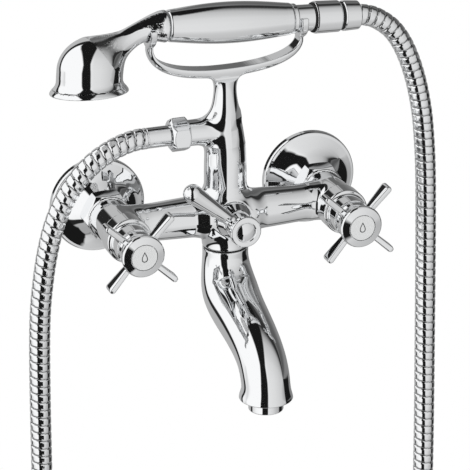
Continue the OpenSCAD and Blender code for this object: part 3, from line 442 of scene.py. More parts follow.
# %% Lathe
def lathe(profile, sides=96):
    """Points, faces and normals of a turned piece."""
    line, line_normals = rounded(profile)
    points, normals, index = [], [], []
    angles = np.arange(sides) * 2 * math.pi / sides
    for (r, h), (nr, nh) in zip(line, line_normals):
        if r < 1e-6:
            index.append([len(points)] * sides)
            points.append((0, 0, h))
            normals.append((0, 0, math.copysign(1, nh)))
            continue
        index.append(list(range(len(points), len(points) + sides)))
        for a in angles:
            c, s = math.cos(a), math.sin(a)
            points.append((r * c, r * s, h))
            normals.append((nr * c, nr * s, nh))
    faces = []
    for low, high in zip(index, index[1:]):
        for j in range(sides):
            i = (j + 1) % sides
            face = [low[j], low[i], high[i], high[j]]
            face = [v for k, v in enumerate(face) if v not in face[:k]]
            if len(face) > 2:
                faces.append(face)
    return np.array(points), faces, np.array(normals)


def turned_piece(name, profile, place, body, replaced=(), slot="chrome", sides=96):
    """Turned piece, set in place."""
    return add_piece(name, *lathe(profile, sides), place, body, slot, replaced)


def ring(inner, outer, low, high):
    """Profile of a flat ring."""
    return [(inner, low, 0), (outer, low, 0.1), (outer, high, 0.1), (inner, high, 0), (inner, low, 0)]


# %% [markdown]
# ## Wall flanges
# Each flange hides the hole in the tiles. It is pressed from sheet: a slightly hollow cone with a stepped
# rim, one turned profile for both sides. A large fillet at the cone's middle points keeps its reflection
# smooth.

# %% Flanges
FLANGE = [
    (31.1, 0, 0), (32.5, 0, 0.1), (32.4, 3.4, 0.3), (31.9, 4.8, 1.0), (30.0, 5.3, 0.4),
    (25.5, 7.4, 60), (20.5, 10.4, 60), (15.6, 14.9, 0.9), (14.4, 16, 0.5), (10.45, 16, 0.1),
    (10.45, 14.6, 0.1), (15, 13, 0.5), (29.0, 3.6, 0.5), (31.1, 2.8, 0.2), (31.1, 0, 0),
]
for word, at_valve in AT_VALVE.items():
    turned_piece(f"flange_{word}", FLANGE, at_valve, "mixer", (f"wall_flange_{word}",), sides=128)

# %% [markdown]
# ## Cast pieces
# The body, the riser, the cradle and the spray head are castings: their parts run into each other with
# large soft fillets and no seam. Booleans and bevels break down where three fillets meet. A distance field
# doesn't: each part is a formula for the distance to its surface, and a soft minimum joins two of them with
# a fillet. The surface is then found on a grid, as the place where the distance is nought.


# %% Joining distances
def soft_min(a, b, k):
    """Union of two distances, with a fillet that begins where they differ by less than k."""
    h = np.maximum(k - np.abs(a - b), 0) / k
    return np.minimum(a, b) - h**3 * k / 6


def soft_max(a, b, k):
    """Intersection of two distances, with a rounded edge."""
    return -soft_min(-a, -b, k)


def smooth_step(t):
    """Eased step from 0 to 1."""
    t = np.clip(t, 0, 1)
    return t**2 * (3 - 2 * t)


def bored(d, rho, ahead, radius):
    """Field with a hole of a radius, open where ahead is negative."""
    return np.maximum(d, -np.maximum(rho - radius, ahead))


def run_under(d, past, depth=1.2):
    """Field that ends at a plane, sinking softly below its neighbour's surface so that no seam shows."""
    return np.maximum(d + 0.15 * np.maximum(past, 0) ** 2, past - depth)


# %% Slope of a field
def gradient(field, points, reach=0.04):
    """Slope of a field at points."""
    slopes = []
    for axis in range(3):
        shift = np.zeros(3)
        shift[axis] = reach
        slopes.append((field(*(points + shift).T) - field(*(points - shift).T)) / (2 * reach))
    return np.stack(slopes, 1)


# %% Points in the cells that a surface crosses
CORNERS = [(i, j, k) for i in (0, 1) for j in (0, 1) for k in (0, 1)]


def cell_points(values, places):
    """Mean place, counted in cells, where the edges of each cell cross the surface."""
    total, crossings = np.zeros((len(places), 3)), np.zeros(len(places))
    for start in CORNERS:
        for axis in range(3):
            if start[axis]:
                continue
            stop = list(start)
            stop[axis] = 1
            a, b = [values[tuple((places + end).T)].astype(float) for end in (start, stop)]
            crossed = (a < 0) != (b < 0)
            spot = np.tile(np.array(start, float), (len(places), 1))
            spot[:, axis] += np.where(crossed, a / np.where(crossed, a - b, 1), 0)
            total += spot * crossed[:, None]
            crossings += crossed
    return places + total / crossings[:, None]


# %% Faces between those cells
def cell_faces(inside, number):
    """A face for each edge of the grid that crosses the surface, through the four cells round it."""
    faces = []
    for axis in range(3):
        u, v = (axis + 1) % 3, (axis + 2) % 3
        first = [slice(1, -1)] * 3
        second = list(first)
        first[axis], second[axis] = slice(0, -1), slice(1, None)
        a, b = inside[tuple(first)], inside[tuple(second)]
        spots = np.argwhere(a != b)
        leaving = a[tuple(spots.T)]
        spots += [0 if k == axis else 1 for k in range(3)]
        quad = []
        for du, dv in ((1, 1), (0, 1), (0, 0), (1, 0)):
            back = spots.copy()
            back[:, u] -= du
            back[:, v] -= dv
            quad.append(number[tuple(back.T)])
        quad = np.stack(quad, 1)
        faces.append(np.where(leaving[:, None], quad, quad[:, ::-1]))
    return np.vstack(faces).tolist()


# %% Surface of a field
def nets(field, low, high, step):
    """Points, faces and normals of the surface where a field of x, y, z is nought."""
    low, high = np.array(low, float), np.array(high, float)
    counts = np.ceil((high - low) / step).astype(int) + 1
    axes = [low[k] + step * np.arange(counts[k]) for k in range(3)]
    values = np.empty(counts, np.float32)
    for i, x in enumerate(axes[0]):
        values[i] = field(np.array([[x]]), axes[1][:, None], axes[2][None, :])
    inside = values < 0
    cut = [slice(0, -1), slice(1, None)]
    filled = sum(inside[cut[i], cut[j], cut[k]].astype(np.int8) for i, j, k in CORNERS)
    cell = (filled > 0) & (filled < len(CORNERS))
    places = np.argwhere(cell)
    number = np.full(cell.shape, -1)
    number[cell] = np.arange(len(places))
    points = low + step * cell_points(values, places)
    # A few steps down the slope bring each point onto the surface
    for _ in range(3):
        value, slope = field(*points.T), gradient(field, points)
        points = points - np.clip(value / np.maximum((slope**2).sum(1), 1e-6), -step, step)[:, None] * slope
    normals = gradient(field, points)
    normals /= np.linalg.norm(normals, axis=1, keepdims=True) + 1e-12
    return points, cell_faces(inside, number), normals


def cast_piece(name, field, low, high, step, place, body, replaced):
    """Chromed casting from a distance field."""
    return add_piece(name, *nets(field, low, high, step), place, body, "chrome", replaced)


# %% [markdown]
# ## Hexagon nuts
# Two union nuts pull the mixer to the wall inlets, and a smaller one holds the hose on its branch. A nut
# could be a six-sided cylinder with a bevel, but a real one is a hexagon cut by a lathe at both ends, which
# leaves bowed edges. As a field it is just that: the larger of a hexagon and two cones.


# %% Nuts
# Width over flats, ends, hole, and how far the lathe cuts into the ends
WALL_NUT = {"flats": 30.0, "low": 16.0, "high": 28.0, "bore": 10.7, "crown": 0.4}
HOSE_NUT = {"flats": 20.5, "low": 26.0, "high": 38.6, "bore": 7.0, "crown": 1.1}
NUT_EDGE, NUT_CROWN_EDGE = 0.5, 0.7


def nut_field(flats, low, high, bore, crown):
    """Distance to a nut along Z."""

    def field(x, y, h):
        rho = np.hypot(x, y)
        c, s = cos_sin(30)
        slants = soft_max(np.abs(y), np.abs(c * x - s * y), NUT_EDGE)
        hexagon = soft_max(np.abs(c * x + s * y), slants, NUT_EDGE) - flats / 2
        ends = np.abs(h - (low + high) / 2) - (high - low) / 2
        # A cone that falls 3 in 4, as a distance
        cones = 0.8 * ends + 0.6 * (rho - flats / 2 + crown)
        return bored(soft_max(hexagon, np.maximum(cones, ends), NUT_CROWN_EDGE), rho, -1.0, bore)

    return field


for word, at_valve in AT_VALVE.items():
    cast_piece(f"wall_nut_{word}", nut_field(**WALL_NUT), (-18, -18, 15), (18, 18, 29), 0.4, at_valve,
               "mixer", (f"union_nut_{word}",))
hose_end_nut = cast_piece("branch_nut", nut_field(**HOSE_NUT), (-13, -13, 25), (13, 13, 40), 0.3,
                          ALONG_BRANCH, "mixer", ("hose_nut",))

# %% [markdown]
# ## Body casting
# Bar, end barrels, centre post and diverter boss are one casting. The bar tapers a little towards the
# barrels. The post is shared with the riser above, so that the two run on without a step, and the body
# stops at a plane under the riser's surface. The valve chambers are bored out, so that the pieces inside
# have their room.

# %% Sizes of the body
# Radius of the bar by distance from the middle, and how far it swells to the front there
BAR_STOPS = [
    (0, 13.8), (10, 13.8), (19.5, 13.75), (35, 13.2), (51, 12.55), (56, 12.6), (61, 13.1), (75, 13.2),
]
BELLY, BELLY_END, BELLY_EASE = 3.0, 26.0, 12.0
# Radius of a barrel by distance from the wall
BARREL_AT = (22, 28.4, 28.6, 30.0, 30.5, 31.5, 58, 59.3, 60)
BARREL_R = (13.2, 13.2, 14.8, 14.8, 13.5, 14.0, 14.0, 13.5, 12.0)
BARREL_BACK, BARREL_FRONT = 23.0, 60.0
BOSS_R, BOSS_BOTTOM = 15.5, -22.2
DIVERTER_R, DIVERTER_FRONT = 12.0, 59.5
RISER_FOOT, RISER_TOP = 24.0, 92.0
RISER_BASE_R, RISER_NECK_R, RISER_NECK_Z = 14.0, 7.3, 90.0
SWELL_TOP, SWELL_EASE = 22.0, 10.0
# Holes in the casting: where each ends, and its radius
VALVE_END, VALVE_R = 38.0, 10.05
CARTRIDGE_END, CARTRIDGE_R, DIVERTER_RIM_R = 39.0, 8.25, 12.1
SOCKET_BOTTOM, SOCKET_R = 10.0, 10.05
SPIGOT_TOP, SPIGOT_R = -8.5, 9.55


# %% Smooth curves and the post
def spline(p, steps):
    """Smooth curve through rows of numbers."""
    p = np.array(p, float)
    q = np.vstack([2 * p[0] - p[1], p, 2 * p[-1] - p[-2]])
    out = []
    for i in range(len(p) - 1):
        a, b, c, d = q[i : i + 4]
        for t in np.arange(steps) / steps:
            out.append(0.5 * (2 * b + (c - a) * t + (2 * a - 5 * b + 4 * c - d) * t**2
                              + (3 * b - a - 3 * c + d) * t**3))
    return np.array(out + [p[-1]])


def steps_of(points):
    """Distance from each point to the next."""
    return np.linalg.norm(np.diff(points, axis=0), axis=1)


bar_curve = spline(BAR_STOPS, 40)


def post_radius(z):
    """Radius of the post: wider at the spout, then narrowing up to the cradle."""
    rise = np.clip((z - RISER_FOOT) / (RISER_NECK_Z - RISER_FOOT), 0, 1)
    column = RISER_NECK_R + (RISER_BASE_R - RISER_NECK_R) * (0.5 + 0.5 * np.cos(math.pi * rise**1.5))
    return column + (BOSS_R - RISER_BASE_R) * smooth_step((SWELL_TOP - z) / SWELL_EASE)


# %% Body
def body_field(x, y, z):
    """Distance to the body casting."""
    depth, right = -y, np.abs(x)
    round_bar = np.hypot(y + BODY_DEPTH, z)
    to_front = np.clip((depth - BODY_DEPTH) / np.maximum(round_bar, 1), 0, 1)
    belly = BELLY * smooth_step((BELLY_END - right) / BELLY_EASE) * to_front
    bar = round_bar - np.interp(right, bar_curve[:, 0], bar_curve[:, 1]) - belly
    bar = np.maximum(bar, right - INLET_X)
    round_barrel = np.hypot(right - INLET_X, z)
    barrel = round_barrel - np.interp(depth, BARREL_AT, BARREL_R)
    barrel = np.maximum(barrel, np.maximum(depth - BARREL_FRONT, BARREL_BACK - depth))
    round_post = np.hypot(x, y + BODY_DEPTH)
    post = soft_max(round_post - post_radius(z), BOSS_BOTTOM - z, 1.6)
    round_diverter = np.hypot(x, z - DIVERTER_Z)
    diverter_ends = np.maximum(depth - DIVERTER_FRONT, BODY_DEPTH - depth)
    diverter = soft_max(round_diverter - DIVERTER_R, diverter_ends, 1.2)
    d = bar
    for part, fillet in ((barrel, 4.5), (post, 11.0), (diverter, 4.5)):
        d = soft_min(d, part, fillet)
    d = bored(d, round_diverter, DIVERTER_FRONT - depth, DIVERTER_RIM_R)
    d = bored(d, round_barrel, VALVE_END - depth, VALVE_R)
    d = bored(d, round_diverter, CARTRIDGE_END - depth, CARTRIDGE_R)
    d = bored(d, round_post, SOCKET_BOTTOM - z, SOCKET_R)
    d = bored(d, round_post, z - SPIGOT_TOP, SPIGOT_R)
    return run_under(d, z - RISER_FOOT)


cast_piece("body_casting", body_field, (-91, -65, -26), (91, -21, 26.5), 0.6, IN_PLACE, "mixer",
           ("mixer_body",))

# %% [markdown]
# ## Riser and cradle
# The riser narrows upwards, sends the hose branch out to the left and spreads into the cradle, a strap that
# is flat above and round below and rises to a fork at each end. A strap like this could be a curve with a
# bevel object. Here it is a distance to a bent line, because it has to melt into the riser below it.

# %% Line of the cradle
# Way out to a fork and way up to it, as shares
CRADLE_RISE = [
    (0, 0), (0.27, 0.02), (0.54, 0.1), (0.74, 0.23), (0.875, 0.39), (0.96, 0.58), (1, 0.79), (1, 1),
]
CRADLE_Z, CRADLE_HALF_T, CRADLE_HALF_W = 98.7, 3.3, 5.3
PRONG_T, FORK_HALF = 2.8, 2.3
STRAP_POWER = 2.6
# Each fork: place along X, height and radius of its seat, height of the prongs over the seat's axis
FORKS = [(-52.0, 134.107, 9.2, 1.2), (51.6, 129.115, 9.0, 3.0)]


def cradle_side(fork):
    """Line from the middle to a fork, as (x, z, half thickness)."""
    x, seat_z, seat_r, _ = fork
    top = seat_z - seat_r - PRONG_T / 2
    return [(x * out, CRADLE_Z + (top - CRADLE_Z) * up, CRADLE_HALF_T - (CRADLE_HALF_T - PRONG_T / 2) * up)
            for out, up in CRADLE_RISE]


left_line, right_line = map(cradle_side, FORKS)
cradle_line = spline(left_line[:0:-1] + right_line, 8)
print(f"cradle: {steps_of(cradle_line[:, :2]).sum():.0f} mm along its strap")


# %% Distance to a bent line
def near_line(line, a, b):
    """Offset to the left of a plane line, distance past its ends, and its third value, at points a, b."""
    a, b = np.broadcast_arrays(a, b)
    flat_a, flat_b = a.ravel()[:, None], b.ravel()[:, None]
    start, length = line[:-1, :2], steps_of(line[:, :2])
    ahead = np.diff(line[:, :2], axis=0) / length[:, None]
    # Only the segments near the closest of every few points are tried
    few = 6
    rough = line[::few, :2]
    near = few * np.argmin((flat_a - rough[:, 0]) ** 2 + (flat_b - rough[:, 1]) ** 2, axis=1)
    some = np.clip(near[:, None] + np.arange(-few - 1, few + 1), 0, len(start) - 1)
    da, db = flat_a - start[some, 0], flat_b - start[some, 1]
    forward = da * ahead[some, 0] + db * ahead[some, 1]
    sideways = db * ahead[some, 0] - da * ahead[some, 1]
    over = np.maximum(np.maximum(forward - length[some], -forward), 0)
    best = np.argmin(over**2 + sideways**2, axis=1)
    pick = np.arange(len(best)), best
    segment = some[pick]
    part_way = np.clip(forward[pick] / length[segment], 0, 1)
    value = line[segment, 2] * (1 - part_way) + line[segment + 1, 2] * part_way
    return [v.reshape(a.shape) for v in (sideways[pick], over[pick], value)]


# %% Sizes of the riser's branch and water ways
BRANCH_R, BRANCH_END, BRANCH_START = 8.5, 31.0, 5.0
BRANCH_TIP_R, BRANCH_TIP = 8.3, 26.0
# How many times as deep as high the branch is at the post, and how far out it is round
BRANCH_DEEPER, BRANCH_ROUND = 1.3, 34.0
# Its fillet to the post: at its sides, and how much wider above and below
FILLET, FILLET_MORE = 4.5, 9.0
POST_END, STRAP_FROM, STRAP_FILLET = 93.0, 84.0, 9.0
FORK_EDGE, FORK_FILLET, FORK_REACH = 1.4, 2.4, 8.0
RISER_SPIGOT_R, RISER_SPIGOT_BOTTOM = 9.95, 11.0
RISER_WAY_R, RISER_WAY_TOP = 6.0, 64.0
BRANCH_WAY_R, BRANCH_WAY_ENDS = 5.0, (-40.0, -6.0)


# %% Strap
def strap_field(x, y, z):
    """Distance to the strap, from the middle of its width."""
    offset, over, half = near_line(cradle_line, x, z)
    across, down = np.abs(y) / CRADLE_HALF_W, np.abs(half - offset) / (2 * half)
    under = (across**STRAP_POWER + down**STRAP_POWER) ** (1 / STRAP_POWER) - 1
    strap = soft_max(offset - half, under * np.minimum(CRADLE_HALF_W, 2 * half) * 0.8, 1.2)
    return np.maximum(strap, over - 1.0)


# %% Riser with its branch, strap and forks
def upper_field(x, y, z):
    """Distance to the riser with its branch and the cradle."""
    y = y + BODY_DEPTH
    rho = np.hypot(x, y)
    post = np.maximum(rho - post_radius(z), z - POST_END)
    off_branch = np.abs(z - BRANCH_Z)
    deeper = BRANCH_DEEPER + np.where(
        x < 0, (BRANCH_DEEPER - 1) * np.maximum(x, -BRANCH_ROUND) / BRANCH_ROUND, -0.1 * np.minimum(x, 8))
    branch = np.maximum(np.hypot(y / deeper, off_branch) - np.where(-x < BRANCH_TIP, BRANCH_R, BRANCH_TIP_R),
                        np.maximum(-x - BRANCH_END, x - BRANCH_START))
    d = soft_min(post, branch, FILLET + FILLET_MORE * np.clip((off_branch - 2) / 7, 0, 1))
    if np.max(z) < STRAP_FROM:
        return d
    d = soft_min(d, strap_field(x, y, z), STRAP_FILLET)
    for fork_x, seat_z, seat_r, prong in FORKS:
        to_axis = np.hypot(y, z - seat_z)
        inner = seat_r - np.where(z > seat_z, np.abs(y), to_axis)
        fork = np.maximum(np.maximum(inner, to_axis - seat_r - PRONG_T), z - seat_z - prong)
        d = soft_min(d, soft_max(fork, np.abs(x - fork_x) - FORK_HALF, FORK_EDGE), FORK_FILLET)
        # The seat is cut out of the strap too, but only near its fork
        d = np.maximum(d, np.where(np.abs(x - fork_x) < FORK_REACH, inner, -seat_r))
    return d


# %% Riser and cradle as two pieces
def riser_field(x, y, z):
    """The part of that field up to the cradle, with its water ways and the spigot that enters the body."""
    rho = np.hypot(x, y + BODY_DEPTH)
    d = run_under(run_under(upper_field(x, y, z), RISER_FOOT - z), z - RISER_TOP)
    spigot_ends = np.maximum(RISER_SPIGOT_BOTTOM - z, z - RISER_FOOT)
    d = np.minimum(d, np.maximum(rho - RISER_SPIGOT_R, spigot_ends))
    way_ends = np.maximum(x - BRANCH_WAY_ENDS[1], BRANCH_WAY_ENDS[0] - x)
    d = bored(d, np.hypot(y + BODY_DEPTH, z - BRANCH_Z), way_ends, BRANCH_WAY_R)
    return bored(d, rho, z - RISER_WAY_TOP, RISER_WAY_R)


def cradle_field(x, y, z):
    """The part of that field above the riser."""
    return run_under(upper_field(x, y, z), RISER_TOP - z)


cast_piece("riser", riser_field, (-32, -61, 9), (16, -29, 94.5), 0.5, IN_PLACE, "mixer", ("riser_column",))
cast_piece("cradle", cradle_field, (-58, -58, 90), (58, -32, 139), 0.5, IN_PLACE, "mixer",
           ("handset_cradle",))

# %% [markdown]
# ## Valve bonnets and cross handles
# The bonnets and hubs are turned. The hub's face is a shallow cone round a recess for the button. The four
# arms of a handle are the same paddle, set a quarter turn apart: a repeat that Geometry Nodes do well, with
# the number of arms, the first angle and the step as inputs that can be changed later.

# %% Bonnets, hubs and buttons
BONNET = [
    (8.1, 60, 0), (15.3, 60, 0.5), (15.3, 72, 1.3), (13, 72.6, 1.6), (13, 85, 0.6), (8.1, 85, 0.2),
    (8.1, 60, 0),
]
HUB = [
    (4.05, 85.3, 0), (12.2, 85.3, 0.8), (11.6, 89.2, 3), (12.2, 92.6, 3), (14.0, 97, 1), (14.3, 98.2, 1.2),
    (14.3, 99.6, 0.9), (13.5, 100.5, 0.6), (8.95, 102, 0.2), (8.85, 99.6, 0.1), (4.05, 99.6, 0),
]
BUTTON = [(0, 99.6, 0), (8.5, 99.6, 0.1), (8.5, 102, 0.25), (0, 102, 0)]
for word, at_valve in AT_VALVE.items():
    turned_piece(f"valve_bonnet_{word}", BONNET, at_valve, "mixer", (f"bonnet_{word}",))
    turned_piece(f"hub_{word}", HUB, at_valve, f"handle_{word}", (f"handle_{word}",))
    turned_piece(f"button_{word}", BUTTON, at_valve, f"handle_{word}", (f"index_button_{word}",), "index")


# %% Skin over rings
def skin(rings):
    """Points, faces and normals of a surface through closed rings, an array of [row, side, xyz]."""
    rows, sides = rings.shape[:2]
    along = np.gradient(rings, axis=0)
    around = np.roll(rings, -1, 1) - np.roll(rings, 1, 1)
    normals = np.cross(around, along)
    normals /= np.linalg.norm(normals, axis=2, keepdims=True) + 1e-12
    index = np.arange(rows * sides).reshape(rows, sides)
    a, b = index[:-1], np.roll(index, -1, 1)[:-1]
    c, d = np.roll(index, -1, 1)[1:], index[1:]
    faces = np.stack([a, b, c, d], 2).reshape(-1, 4).tolist()
    return rings.reshape(-1, 3), faces, normals.reshape(-1, 3)


# %% One arm
ARM_MID, ARM_TURN = 92.65, 48.0
ARM_FROM, ARM_REACH, ARM_ROUND = 7.0, 32.0, 2.6
# Half its width and half its depth at the hub, and how much each grows to the tip
ARM_WIDE, ARM_DEEP = (1.9, 0.4), (2.8, 2.4)


def arm_mesh():
    """Paddle arm along +X: narrow from the front, deeper towards its rounded tip."""
    rows, tip_rows, sides, power = 28, 12, 48, 5.0
    bow = ARM_ROUND * np.sin(np.linspace(0.1, math.pi / 2, tip_rows))
    at = np.concatenate([np.linspace(ARM_FROM, ARM_REACH - ARM_ROUND, rows), ARM_REACH - ARM_ROUND + bow])
    out = (at - ARM_FROM) / (ARM_REACH - ARM_FROM)
    tip = np.sqrt(np.clip(1 - (np.maximum(at - ARM_REACH + ARM_ROUND, 0) / ARM_ROUND) ** 2, 0.0004, 1))
    half_w = (ARM_WIDE[0] + ARM_WIDE[1] * out) * tip
    half_d = (ARM_DEEP[0] + ARM_DEEP[1] * out) * (0.7 + 0.3 * tip)
    turn = np.arange(sides) * 2 * math.pi / sides
    c, s = np.cos(turn), np.sin(turn)
    wide, deep = [np.sign(v) * np.abs(v) ** (2 / power) for v in (c, s)]
    rings = np.stack([np.repeat(at[:, None], sides, 1), half_w[:, None] * wide, half_d[:, None] * deep], 2)
    points, faces, _ = skin(rings)
    ends = [list(range(sides))[::-1], list(range(len(points) - sides, len(points)))]
    return smooth_mesh("arm", points, faces + ends)


# %% [markdown]
# A tree's inputs are set on the modifier by the identifier of their socket. The evaluated object is then
# copied into a plain mesh, the modifier is removed, and the mesh goes to its place like any other piece.


# %% Tree to mesh
def set_out(name, thing, sizes, grow, place, body, slot):
    """Copies of a small mesh, laid out by the tree that grow builds, as one plain piece."""
    source = new_object(name + "_source", thing)
    holder = new_object(name, bpy.data.meshes.new(name))
    tree = bpy.data.node_groups.new(name, "GeometryNodeTree")
    tree.interface.new_socket("Geometry", in_out="OUTPUT", socket_type="NodeSocketGeometry")
    sizes = {**sizes, "Copy": ("NodeSocketObject", source)}
    names = {key: tree.interface.new_socket(key, in_out="INPUT", socket_type=kind).identifier
             for key, (kind, _) in sizes.items()}
    given = add_node(tree, "NodeGroupInput").outputs
    dots, turn = grow(tree, given)
    copy = add_node(tree, "GeometryNodeObjectInfo", {"Object": given["Copy"]}).outputs["Geometry"]
    copies = add_node(tree, "GeometryNodeInstanceOnPoints",
                      {"Points": dots, "Instance": copy, "Rotation": turn}).outputs[0]
    real = add_node(tree, "GeometryNodeRealizeInstances", {0: copies}).outputs[0]
    painted = add_node(tree, "GeometryNodeSetMaterial", {0: real, "Material": FINISHES[slot]}).outputs[0]
    add_node(tree, "NodeGroupOutput", {0: painted})
    modifier = holder.modifiers.new("layout", "NODES")
    modifier.node_group = tree
    for key, (_, value) in sizes.items():
        modifier[names[key]] = value
    bpy.context.view_layer.update()
    made = bpy.data.meshes.new_from_object(holder.evaluated_get(bpy.context.evaluated_depsgraph_get()))
    holder.modifiers.remove(modifier)
    bpy.data.objects.remove(source)
    points = placed(np.array([v.co for v in made.vertices]) / MM, place)
    made.vertices.foreach_set("co", (points * MM).ravel())
    made.update()
    holder.data = made
    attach(holder, body)
    print(f"{name}: {len(made.polygons)} faces from {len(tree.nodes)} nodes")
    return holder


# %% Arms round each hub
def round_the_hub(tree, given):
    """Points on the axis, each turned one step further."""
    dots = add_node(tree, "GeometryNodePoints", {"Count": given["Count"]}).outputs[0]
    index = add_node(tree, "GeometryNodeInputIndex").outputs[0]
    turn = calc(tree, "MULTIPLY_ADD", index, given["Step"], given["First angle"])
    return dots, add_node(tree, "ShaderNodeCombineXYZ", {2: turn}).outputs[0]


ARMS = {
    "Count": ("NodeSocketInt", 4), "First angle": ("NodeSocketFloat", math.radians(ARM_TURN)),
    "Step": ("NodeSocketFloat", math.pi / 2),
}
for word, at_valve in AT_VALVE.items():
    set_out(f"arms_{word}", arm_mesh(), ARMS, round_the_hub, at_valve @ move(0, 0, ARM_MID), f"handle_{word}",
            "chrome")

# %% [markdown]
# ## Marks on the buttons
# Each button carries a small mark in dark enamel. A plain water drop stands here, the same on both. It is a
# narrow band with a little height of its own, so that it doesn't flicker against the face under it.


# %% Drop on each button
DROP_HALF_W, DROP_HALF_H, DROP_UP = 2.9, 3.7, 0.6
# The inner outline: its size as a share of the outer one, and how far it is moved
DROP_HOLE, DROP_HOLE_MOVED = (0.72, 0.76), (0, -0.12)
MARK_AT, MARK_T = 101.99, 0.06


def drop_mark(name, place, body):
    """Outline of a water drop, a hair above the button's face."""
    t = np.linspace(0, 2 * math.pi, 49)[:-1]
    drop = np.stack([-DROP_HALF_W * np.sin(t) * np.sin(t / 2) ** 1.5, DROP_HALF_H * np.cos(t) + DROP_UP], 1)
    inner = drop * DROP_HOLE + DROP_HOLE_MOVED
    rings = [np.column_stack([loop, np.full(len(t), h)])
             for loop, h in ((inner, 0), (drop, 0), (drop, MARK_T), (inner, MARK_T), (inner, 0))]
    points, faces, _ = skin(np.array(rings))
    return add_piece(name, points, faces, None, place, body, "index", material=MARK)


for word, at_valve in AT_VALVE.items():
    drop_mark(f"mark_{word}", at_valve @ move(0, 0, MARK_AT), f"handle_{word}")

# %% [markdown]
# ## Diverter
# The lever sends the water to the spout or to the handset. Its bonnet, hub, arm and domed cap are turned,
# the arm about its own length, so that one profile gives the thin neck and the round tip.

# %% Diverter bonnet, lever and cap
LEVER_MID, LEVER_ANGLE, LEVER_LEN = 76.4, 140.0, 43.5
DIVERTER_BONNET = [
    (6.1, 59.5, 0), (12, 59.5, 0.4), (12, 64, 1.6), (9.7, 69.5, 1), (9.1, 70.5, 0.5), (6.1, 70.5, 0.2),
    (6.1, 59.5, 0),
]
LEVER_HUB = [
    (3.6, 70.8, 0), (8.5, 70.8, 0.5), (8.5, 80.4, 1), (10.5, 82.6, 0.8), (10.5, 86, 1.1), (7.1, 86, 0.2),
    (6.6, 85.6, 0.1), (6.25, 85.5, 0.1), (6.25, 84.4, 0.1), (3.6, 84.4, 0),
]
LEVER_TIP_R = 6.5
CAP_R, CAP_EDGE, CAP_DOME = 6.2, 85.6, 1.8
LEVER_ARM = [(0, 4.5, 0), (4.2, 4.5, 0.1), (4.2, 9.4, 0.3), (3.5, 11, 0.8), (3.8, 14, 4)] + [
    (LEVER_TIP_R * c, LEVER_LEN + LEVER_TIP_R * s, 2) for c, s in map(cos_sin, range(-8, 90, 7))
] + [(0, LEVER_LEN + LEVER_TIP_R, 0)]
CAP = [(0, 84.4, 0), (CAP_R, 84.4, 0.1)] + [
    (CAP_R * k / 10, CAP_EDGE + CAP_DOME * (1 - (k / 10) ** 2), 0.3 if k == 10 else 30)
    for k in range(10, 0, -1)
] + [(0, CAP_EDGE + CAP_DOME, 0)]
at_diverter = from_wall(0, DIVERTER_Z)
turned_piece("diverter_skirt", DIVERTER_BONNET, at_diverter, "mixer", ("diverter_bonnet",))
turned_piece("lever_hub", LEVER_HUB, at_diverter, "diverter", ("diverter_lever",))
along_lever = at_diverter @ move(0, 0, LEVER_MID) @ turn_about("Z", LEVER_ANGLE) @ turn_about("Y", 90)
turned_piece("lever_arm", LEVER_ARM, along_lever, "diverter")
turned_piece("lever_cap", CAP, at_diverter, "diverter", ("diverter_cap",))

# %% [markdown]
# ## Spout
# The spout is a swelling S that leaves the body downwards and turns down again at its lip. It could be a
# curve with a bevel and varying radii. Rings square to a smoothed line give the same, and the shoulder at
# its top and the lip at its mouth follow in the same skin. A black ring seals the joint that it swivels in.

# %% Line of the spout
SPOUT_TOP, SPOUT_DROP = -24.3, 75.5
# Share of the reach, share of the drop, diameter
SPOUT_LINE = [
    (0, 0, 30.6), (0, 0.03, 30.4), (0, 0.06, 30.4), (0.004, 0.11, 31), (0.016, 0.18, 32.6),
    (0.05, 0.27, 35.2), (0.11, 0.36, 37.2), (0.22, 0.43, 36.9), (0.37, 0.485, 35.6), (0.63, 0.56, 33.6),
    (0.87, 0.67, 32), (0.975, 0.81, 32), (1, 0.91, 32), (1, 0.97, 34.6), (1, 1, 35.4),
]
spout_line = spline([(0, -BODY_DEPTH - s * SPOUT_REACH, SPOUT_TOP - t * SPOUT_DROP, d / 2)
                     for s, t, d in SPOUT_LINE], 12)
for _ in range(40):
    spout_line[1:-1] = (spout_line[:-2] + 2 * spout_line[1:-1] + spout_line[2:]) / 4
print(f"spout: {steps_of(spout_line[:, :3]).sum():.0f} mm along its line")


# %% Rings along a line
def tube_rings(line, radii, sides, across):
    """Rings square to a line of points that lies in a plane whose normal is across."""
    ahead = np.gradient(line, axis=0)
    ahead /= np.linalg.norm(ahead, axis=1, keepdims=True)
    across = np.array(across, float)
    out = np.cross(across, ahead)
    turn = np.arange(sides) * 2 * math.pi / sides
    radii = np.broadcast_to(np.reshape(radii, (len(line), -1)), (len(line), sides))
    ring = np.cos(turn)[None, :, None] * out[:, None] + np.sin(turn)[None, :, None] * across
    return line[:, None] + radii[:, :, None] * ring


# %% Spout
SPOUT_SIDES = 96
outer = tube_rings(spout_line[:, :3], spout_line[:, 3], SPOUT_SIDES, (1, 0, 0))
mouth = np.array([0, -BODY_DEPTH - SPOUT_REACH, SPOUT_TOP - SPOUT_DROP])
crown = np.array([0, -BODY_DEPTH, SPOUT_TOP])
spokes = (outer[-1] - mouth) / np.linalg.norm(outer[-1] - mouth, axis=1, keepdims=True)
